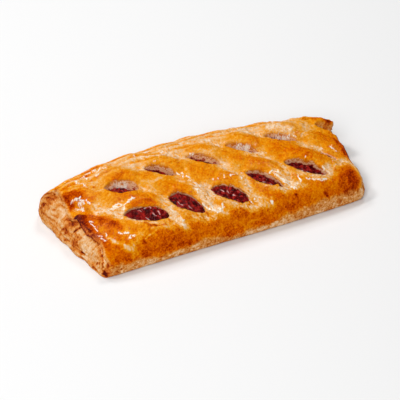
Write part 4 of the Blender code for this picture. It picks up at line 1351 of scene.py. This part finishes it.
class Wiring:
    """Short ways to place and join the nodes of one tree."""

    def __init__(self, tree: bpy.types.NodeTree) -> None:
        """Keep the tree that nodes go into."""
        self.tree = tree

    def node(self, kind: str, **values: object) -> bpy.types.Node:
        """A new node with its properties set."""
        made = self.tree.nodes.new(kind)
        for name, value in values.items():
            setattr(made, name, value)
        return made

    def feed(self, value: object, target: bpy.types.NodeSocket) -> None:
        """Link a signal to a socket, or set the socket to a plain value."""
        if isinstance(value, Signal):
            self.tree.links.new(value.socket, target)
        else:
            target.default_value = value

    def mark(self, name: str) -> Signal:
        """The value of a named point attribute."""
        return Signal(self, self.node("ShaderNodeAttribute", attribute_name=name).outputs["Fac"])

    def place(self) -> Signal:
        """The place on the object, in metres."""
        return Signal(self, self.node("ShaderNodeTexCoord").outputs["Object"])

    def stretched(self, place: Signal, scale: tuple[float, float, float]) -> Signal:
        """A place with each of its coordinates multiplied."""
        made = self.node("ShaderNodeVectorMath", operation="MULTIPLY")
        self.feed(place, made.inputs[0])
        self.feed(scale, made.inputs[1])
        return Signal(self, made.outputs[0])

    def blend(self, share: object, first: object, second: object) -> Signal:
        """Blend two colours by a share."""
        made = self.node("ShaderNodeMix", data_type="RGBA")
        for socket, value in zip((made.inputs[0], made.inputs[6], made.inputs[7]), (share, first, second)):
            self.feed(value, socket)
        return Signal(self, made.outputs[2])

    def ramp(self, share: Signal, colours: tuple[tuple[float, tuple], ...]) -> Signal:
        """A colour ramp with a colour at each of the given places."""
        made = self.node("ShaderNodeValToRGB")
        elements = made.color_ramp.elements
        while len(elements) < len(colours):
            elements.new(0.5)
        for element, (place, colour) in zip(elements, colours):
            element.position = place
            element.color = colour
        self.feed(share, made.inputs["Fac"])
        return Signal(self, made.outputs["Color"])

    def noise(self, place: Signal, scale: float, detail: float, roughness: float) -> Signal:
        """Noise value at a place, its scale per metre."""
        made = self.node("ShaderNodeTexNoise")
        self.feed(scale, made.inputs["Scale"])
        self.feed(detail, made.inputs["Detail"])
        self.feed(roughness, made.inputs["Roughness"])
        self.feed(place, made.inputs["Vector"])
        return Signal(self, made.outputs["Fac"])

    def bump(self, height: Signal, strength: float, distance: float, target: bpy.types.NodeSocket) -> None:
        """Tilt a shader's normal by a height, its distance in metres."""
        made = self.node("ShaderNodeBump")
        self.feed(strength, made.inputs["Strength"])
        self.feed(distance, made.inputs["Distance"])
        self.feed(height, made.inputs["Height"])
        self.feed(Signal(self, made.outputs["Normal"]), target)


class SharedEffects:
    """What more than one finish uses: a shader with its constants, and a node group that is built once."""

    @staticmethod
    def surface(
        name: str, constants: dict[str, object]
    ) -> tuple[bpy.types.Material, Wiring, bpy.types.NodeInputs]:
        """Start a material.

        Args:
            name: Name of the material.
            constants: Values for the shader's own sockets, by socket name.

        Returns:
            The material, the wiring of its nodes and its shader's sockets.
        """
        made = bpy.data.materials.new(name)
        made.use_nodes = True
        sockets = made.node_tree.nodes["Principled BSDF"].inputs
        for socket, value in constants.items():
            sockets[socket].default_value = value
        return made, Wiring(made.node_tree), sockets

    @staticmethod
    def fine_grain(wiring: Wiring, scale: float) -> dict[str, Signal]:
        """The speckle group's signals in a material, by name, at the given scale."""
        group = wiring.node("ShaderNodeGroup", node_tree=SharedEffects.speckle())
        group.inputs["Scale"].default_value = scale
        return {output.name: Signal(wiring, output) for output in group.outputs}

    @staticmethod
    def speckle() -> bpy.types.NodeTree:
        """Group of noises: broad mottle, fine specks, flat layers, slanting strands and a relief height."""
        found = bpy.data.node_groups.get("fine mottle")
        if found:
            return found
        tree = bpy.data.node_groups.new("fine mottle", "ShaderNodeTree")
        scale = tree.interface.new_socket("Scale", in_out="INPUT", socket_type="NodeSocketFloat")
        scale.default_value = 1.0
        for name in ("Mottle", "Specks", "Layers", "Strands", "Relief"):
            tree.interface.new_socket(name, in_out="OUTPUT", socket_type="NodeSocketFloat")
        wiring = Wiring(tree)
        start = wiring.node("NodeGroupInput")
        end = wiring.node("NodeGroupOutput")
        sized = wiring.node("ShaderNodeVectorMath", operation="SCALE")
        wiring.feed(wiring.place(), sized.inputs[0])
        wiring.feed(Signal(wiring, start.outputs["Scale"]), sized.inputs["Scale"])
        where = Signal(wiring, sized.outputs[0])
        turned = wiring.node("ShaderNodeVectorRotate", rotation_type="Z_AXIS")
        turned.inputs["Angle"].default_value = math.radians(48.0)
        wiring.feed(where, turned.inputs["Vector"])
        drawn = wiring.stretched(Signal(wiring, turned.outputs[0]), (0.5, 1.6, 1.0))
        mottle = wiring.noise(where, 380.0, 3.0, 0.6)
        specks = wiring.noise(where, 1100.0, 3.0, 0.65)
        signals = {
            "Mottle": mottle,
            "Specks": specks,
            "Layers": wiring.noise(wiring.stretched(where, (0.45, 0.45, 2.0)), 620.0, 4.0, 0.65),
            "Strands": wiring.noise(drawn, 560.0, 3.0, 0.6),
            "Relief": mottle * 0.55 + specks * 0.45,
        }
        for name, signal in signals.items():
            wiring.feed(signal, end.inputs[name])
        return tree


@dataclass(frozen=True)
class BakedFinish:
    """Glazed, browned puff pastry with paler hems, cut layers, juice stains, painted highlights and painted
    shade.
    """

    name: str = "baked pastry"
    glazed: tuple = stops(
        (0.00, 246, 214, 180), (0.14, 238, 194, 146), (0.28, 236, 174, 98), (0.42, 238, 158, 26),
        (0.56, 229, 132, 0), (0.70, 214, 96, 0), (0.86, 168, 50, 0), (1.00, 104, 18, 4),
    )
    layered: tuple = stops(
        (0.00, 242, 208, 172), (0.25, 232, 178, 120), (0.46, 224, 146, 62), (0.66, 202, 102, 28),
        (0.86, 152, 48, 10), (1.00, 84, 14, 8),
    )
    hem: tuple = stops(
        (0.00, 244, 204, 160), (0.25, 226, 166, 104), (0.50, 208, 132, 62), (0.72, 186, 96, 26),
        (1.00, 128, 40, 10),
    )
    # Slit wall colours by depth: painted shade in a brown band under the lip, pale dough, then juice red and
    # painted shade darkening to near black.
    slit_wall_and_shade: tuple = stops(
        (0.00, 206, 106, 8), (0.14, 198, 112, 36), (0.28, 220, 148, 86), (0.42, 240, 196, 154),
        (0.56, 228, 168, 128), (0.72, 196, 104, 66), (0.86, 150, 36, 26), (1.00, 80, 8, 8),
    )
    juice: Colour = linear(104, 16, 12)
    # Colour of the painted glaze highlights.
    highlight_colour: Colour = linear(255, 244, 226)
    coat_roughness: float = 0.07
    coat_ior: float = 2.0
    mottle_gain: float = 0.30
    speck_gain: float = 0.72
    strand_gain: float = 1.5
    layer_gain: float = 0.6
    cut_grain: float = 1.4
    hem_grain: float = 2.4
    hem_cover: float = 0.9
    wall_strand_gain: float = 1.7
    wall_grain: float = 1.5
    wall_edge: tuple[float, float] = (0.44, 8.0)
    highlight_gaps: tuple[float, float] = (0.37, 8.0)
    highlight_edge: tuple[float, float] = (0.25, 2.5)
    highlight_cover: float = 0.95
    wet_patches: tuple = ((0.40, (0.35, 0.35, 0.35, 1.0)), (0.55, (1.0, 1.0, 1.0, 1.0)))
    cut_dullness: float = 0.5
    coat: float = 0.9
    roughness: float = 0.75
    gloss_smoothing: float = 0.3
    speck_roughness: float = 0.1
    relief: tuple[float, float] = (0.9, 0.0016)
    ripple_noise: tuple[float, float, float] = (620.0, 1.0, 0.45)
    ripple: tuple[float, float] = (1.0, 0.0017)

    def make(self) -> bpy.types.Material:
        """Build the material."""
        constants = {
            "Coat Roughness": self.coat_roughness,
            "Coat IOR": self.coat_ior,
            "Specular IOR Level": 0.0,
        }
        made, wiring, sockets = SharedEffects.surface(self.name, constants)
        fine = SharedEffects.fine_grain(wiring, 1.0)
        bake, pale, cut = wiring.mark("bake"), wiring.mark("pale"), wiring.mark("cut")
        mottle, specks, strands = fine["Mottle"], fine["Specks"], fine["Strands"] - 0.5
        grain = (mottle - 0.5) * self.mottle_gain + (specks - 0.5) * self.speck_gain
        grain = grain * (1.0 + pale)
        skin = wiring.ramp((bake + grain + strands * pale * self.strand_gain).clamped(), self.glazed)
        flaky = grain * self.cut_grain + (fine["Layers"] - 0.5) * self.layer_gain
        layers = wiring.ramp((bake + flaky).clamped(), self.layered)
        hem = wiring.ramp((bake + grain * self.hem_grain).clamped(), self.hem)
        colour = wiring.blend(wiring.mark("raw") * self.hem_cover, skin, hem)
        colour = wiring.blend(cut, colour, layers)
        streaks = strands * self.wall_strand_gain + grain * self.wall_grain
        # Slit walls: colour by depth, with painted shade deeper down.
        wall = wiring.ramp((wiring.mark("inside") + streaks).clamped(), self.slit_wall_and_shade)
        wall = wiring.blend(wiring.mark("stain"), wall, self.juice)
        colour = wiring.blend(wiring.mark("lip").rising(*self.wall_edge), colour, wall)
        # Painted highlights: the broken highlight mask blends the colour towards near-white.
        broken_highlight = wiring.mark("painted_highlight") * specks.rising(*self.highlight_gaps)
        broken_highlight = broken_highlight.rising(*self.highlight_edge) * self.highlight_cover
        wiring.feed(wiring.blend(broken_highlight, colour, self.highlight_colour), sockets["Base Color"])
        patch = wiring.ramp(mottle, self.wet_patches)
        gloss = wiring.mark("glaze") * (1.0 - cut * self.cut_dullness) * patch
        wiring.feed(gloss * self.coat, sockets["Coat Weight"])
        rough = self.roughness - gloss * self.gloss_smoothing + specks * self.speck_roughness
        wiring.feed(rough, sockets["Roughness"])
        wiring.bump(fine["Relief"], *self.relief, sockets["Normal"])
        wiring.bump(wiring.noise(wiring.place(), *self.ripple_noise), *self.ripple, sockets["Coat Normal"])
        return made


@dataclass(frozen=True)
class BerryFinish:
    """Wet cooked berries: dark red fruit, painted shade nearly black in the gaps, painted highlights on the
    juice.
    """

    name: str = "cooked berries"
    deep: Colour = linear(64, 0, 4)
    fruit: Colour = linear(120, 2, 6)
    bright: Colour = linear(182, 36, 30)
    # Colours of painted highlights on the juice: pinkish glints and near-white dashes.
    highlight_pink: Colour = linear(220, 112, 100)
    juice_highlight: Colour = linear(244, 196, 188)
    coat: float = 0.28
    coat_roughness: float = 0.05
    grain_scale: float = 1.3
    highlight_pink_edge: tuple[float, float] = (0.60, 8.0)
    highlight_pink_cover: float = 0.50
    own_gain: float = 0.6
    mottle_gain: float = 0.5
    roughness: float = 0.25
    mottle_roughness: float = 0.3
    relief: tuple[float, float] = (0.9, 0.0030)
    ripple_noise: tuple[float, float, float] = (900.0, 1.0, 0.5)
    ripple: tuple[float, float] = (0.9, 0.0016)

    def make(self) -> bpy.types.Material:
        """Build the material."""
        constants = {
            "Coat Weight": self.coat,
            "Coat Roughness": self.coat_roughness,
            "Specular IOR Level": 0.0,
        }
        made, wiring, sockets = SharedEffects.surface(self.name, constants)
        fine = SharedEffects.fine_grain(wiring, self.grain_scale)
        share = wiring.mark("own") * self.own_gain + fine["Mottle"] * self.mottle_gain
        colour = wiring.ramp(share, ((0.28, self.deep), (0.52, self.fruit), (0.80, self.bright)))
        # Painted shade in the gaps between drupelets.
        colour = wiring.blend(wiring.mark("shaded_gap"), colour, self.deep)
        # Painted highlights: the finest specks brightened towards pink.
        painted_glints = fine["Specks"].rising(*self.highlight_pink_edge) * self.highlight_pink_cover
        colour = wiring.blend(painted_glints, colour, self.highlight_pink)
        # Painted highlights: pale dashes of light on the juice.
        colour = wiring.blend(wiring.mark("juice_highlight"), colour, self.juice_highlight)
        wiring.feed(colour, sockets["Base Color"])
        wiring.feed(self.roughness + fine["Mottle"] * self.mottle_roughness, sockets["Roughness"])
        wiring.bump(fine["Relief"], *self.relief, sockets["Normal"])
        wiring.bump(wiring.noise(wiring.place(), *self.ripple_noise), *self.ripple, sockets["Coat Normal"])
        return made


@dataclass
class Studio:
    """A plain pale floor, soft lights and the camera."""

    azimuth: float = -26.83
    elevation: float = 36.5
    distance: float = 1.425
    lens: float = 270.0
    target: tuple[float, float, float] = (-0.001466, 0.002638, 0.0004)
    sensor_width: float = 36.0
    sight: float = 50.0
    floor_size: float = 4.0
    floor_drop: float = 0.0002
    floor_colour: Colour = (0.86, 0.86, 0.86, 1.0)
    sky_strength: float = 0.14
    lights: tuple[tuple, ...] = (
        ("left", -128.0, 58.0, 0.9, 0.16, 2.4, True),
        ("back", 142.0, 54.0, 1.0, 0.18, 2.2, True),
        ("far left", -170.0, 50.0, 1.0, 0.16, 1.8, True),
        ("front", -38.0, 42.0, 1.2, 0.60, 9.0, False),
    )

    def direction(self, azimuth: float, elevation: float) -> Vector:
        """Unit vector from the object towards an azimuth and elevation in degrees."""
        turn, lift = math.radians(azimuth), math.radians(elevation)
        return Vector((math.sin(turn) * math.cos(lift), -math.cos(turn) * math.cos(lift), math.sin(lift)))

    def floor(self) -> None:
        """The floor, one flat square just under the pastry."""
        half = 0.5 * self.floor_size
        square = ((-half, -half), (half, -half), (half, half), (-half, half))
        mesh = bpy.data.meshes.new("floor")
        mesh.from_pydata([(x, y, -self.floor_drop) for x, y in square], [], [(0, 1, 2, 3)])
        made = bpy.data.objects.new("floor", mesh)
        bpy.context.scene.collection.objects.link(made)
        constants = {"Base Color": self.floor_colour, "Roughness": 0.9, "Specular IOR Level": 0.1}
        mesh.materials.append(SharedEffects.surface("floor", constants)[0])

    def soft_light(
        self,
        name: str,
        azimuth: float,
        elevation: float,
        distance: float,
        size: float,
        power: float,
        mirrored: bool,
    ) -> None:
        """Set up a square area light that faces the pastry.

        Args:
            name: Name of the light.
            azimuth: Degrees round from the front.
            elevation: Degrees up from the floor.
            distance: Metres from the pastry.
            size: Side of the square in metres.
            power: Watts.
            mirrored: Whether it is seen in the pastry's gloss.
        """
        light = bpy.data.lights.new(name, "AREA")
        light.shape = "SQUARE"
        light.size = size
        light.energy = power
        made = bpy.data.objects.new(name, light)
        back = self.direction(azimuth, elevation)
        made.location = back * distance
        made.rotation_euler = back.to_track_quat("Z", "Y").to_euler()
        made.visible_glossy = mirrored
        bpy.context.scene.collection.objects.link(made)

    def camera(self) -> None:
        """The camera, far off with a long lens."""
        data = bpy.data.cameras.new("camera")
        data.lens = self.lens
        data.sensor_width = self.sensor_width
        data.clip_end = self.sight
        made = bpy.data.objects.new("camera", data)
        back = self.direction(self.azimuth, self.elevation)
        made.location = Vector(self.target) + back * self.distance
        made.rotation_euler = back.to_track_quat("Z", "Y").to_euler()
        bpy.context.scene.collection.objects.link(made)
        bpy.context.scene.camera = made

    def build(self) -> None:
        """Set the whole studio up."""
        self.floor()
        world = bpy.data.worlds.new("studio")
        world.use_nodes = True
        sky = world.node_tree.nodes["Background"].inputs
        sky["Color"].default_value = (1.0, 1.0, 1.0, 1.0)
        sky["Strength"].default_value = self.sky_strength
        bpy.context.scene.world = world
        for light in self.lights:
            self.soft_light(*light)
        bpy.context.scene.view_settings.view_transform = "Standard"
        self.camera()


def main() -> None:
    """Build and dress every piece of the strudel."""
    logging.basicConfig(level=logging.INFO, format="%(name)s: %(message)s")
    form = PastryForm()
    crust = Crust(form).build()
    crust.data.materials.append(BakedFinish().make())
    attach(crust, BODY)
    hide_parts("crust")
    LOG.info("crust: %d points", len(crust.data.vertices))
    filling = BerryFilling(form).build()
    filling.data.materials.append(BerryFinish().make())
    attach(filling, BODY)
    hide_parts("filling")
    LOG.info("filling: %d points", len(filling.data.vertices))
    Studio().build()
    LOG.info("studio is set")


if __name__ == "__main__":
    main()
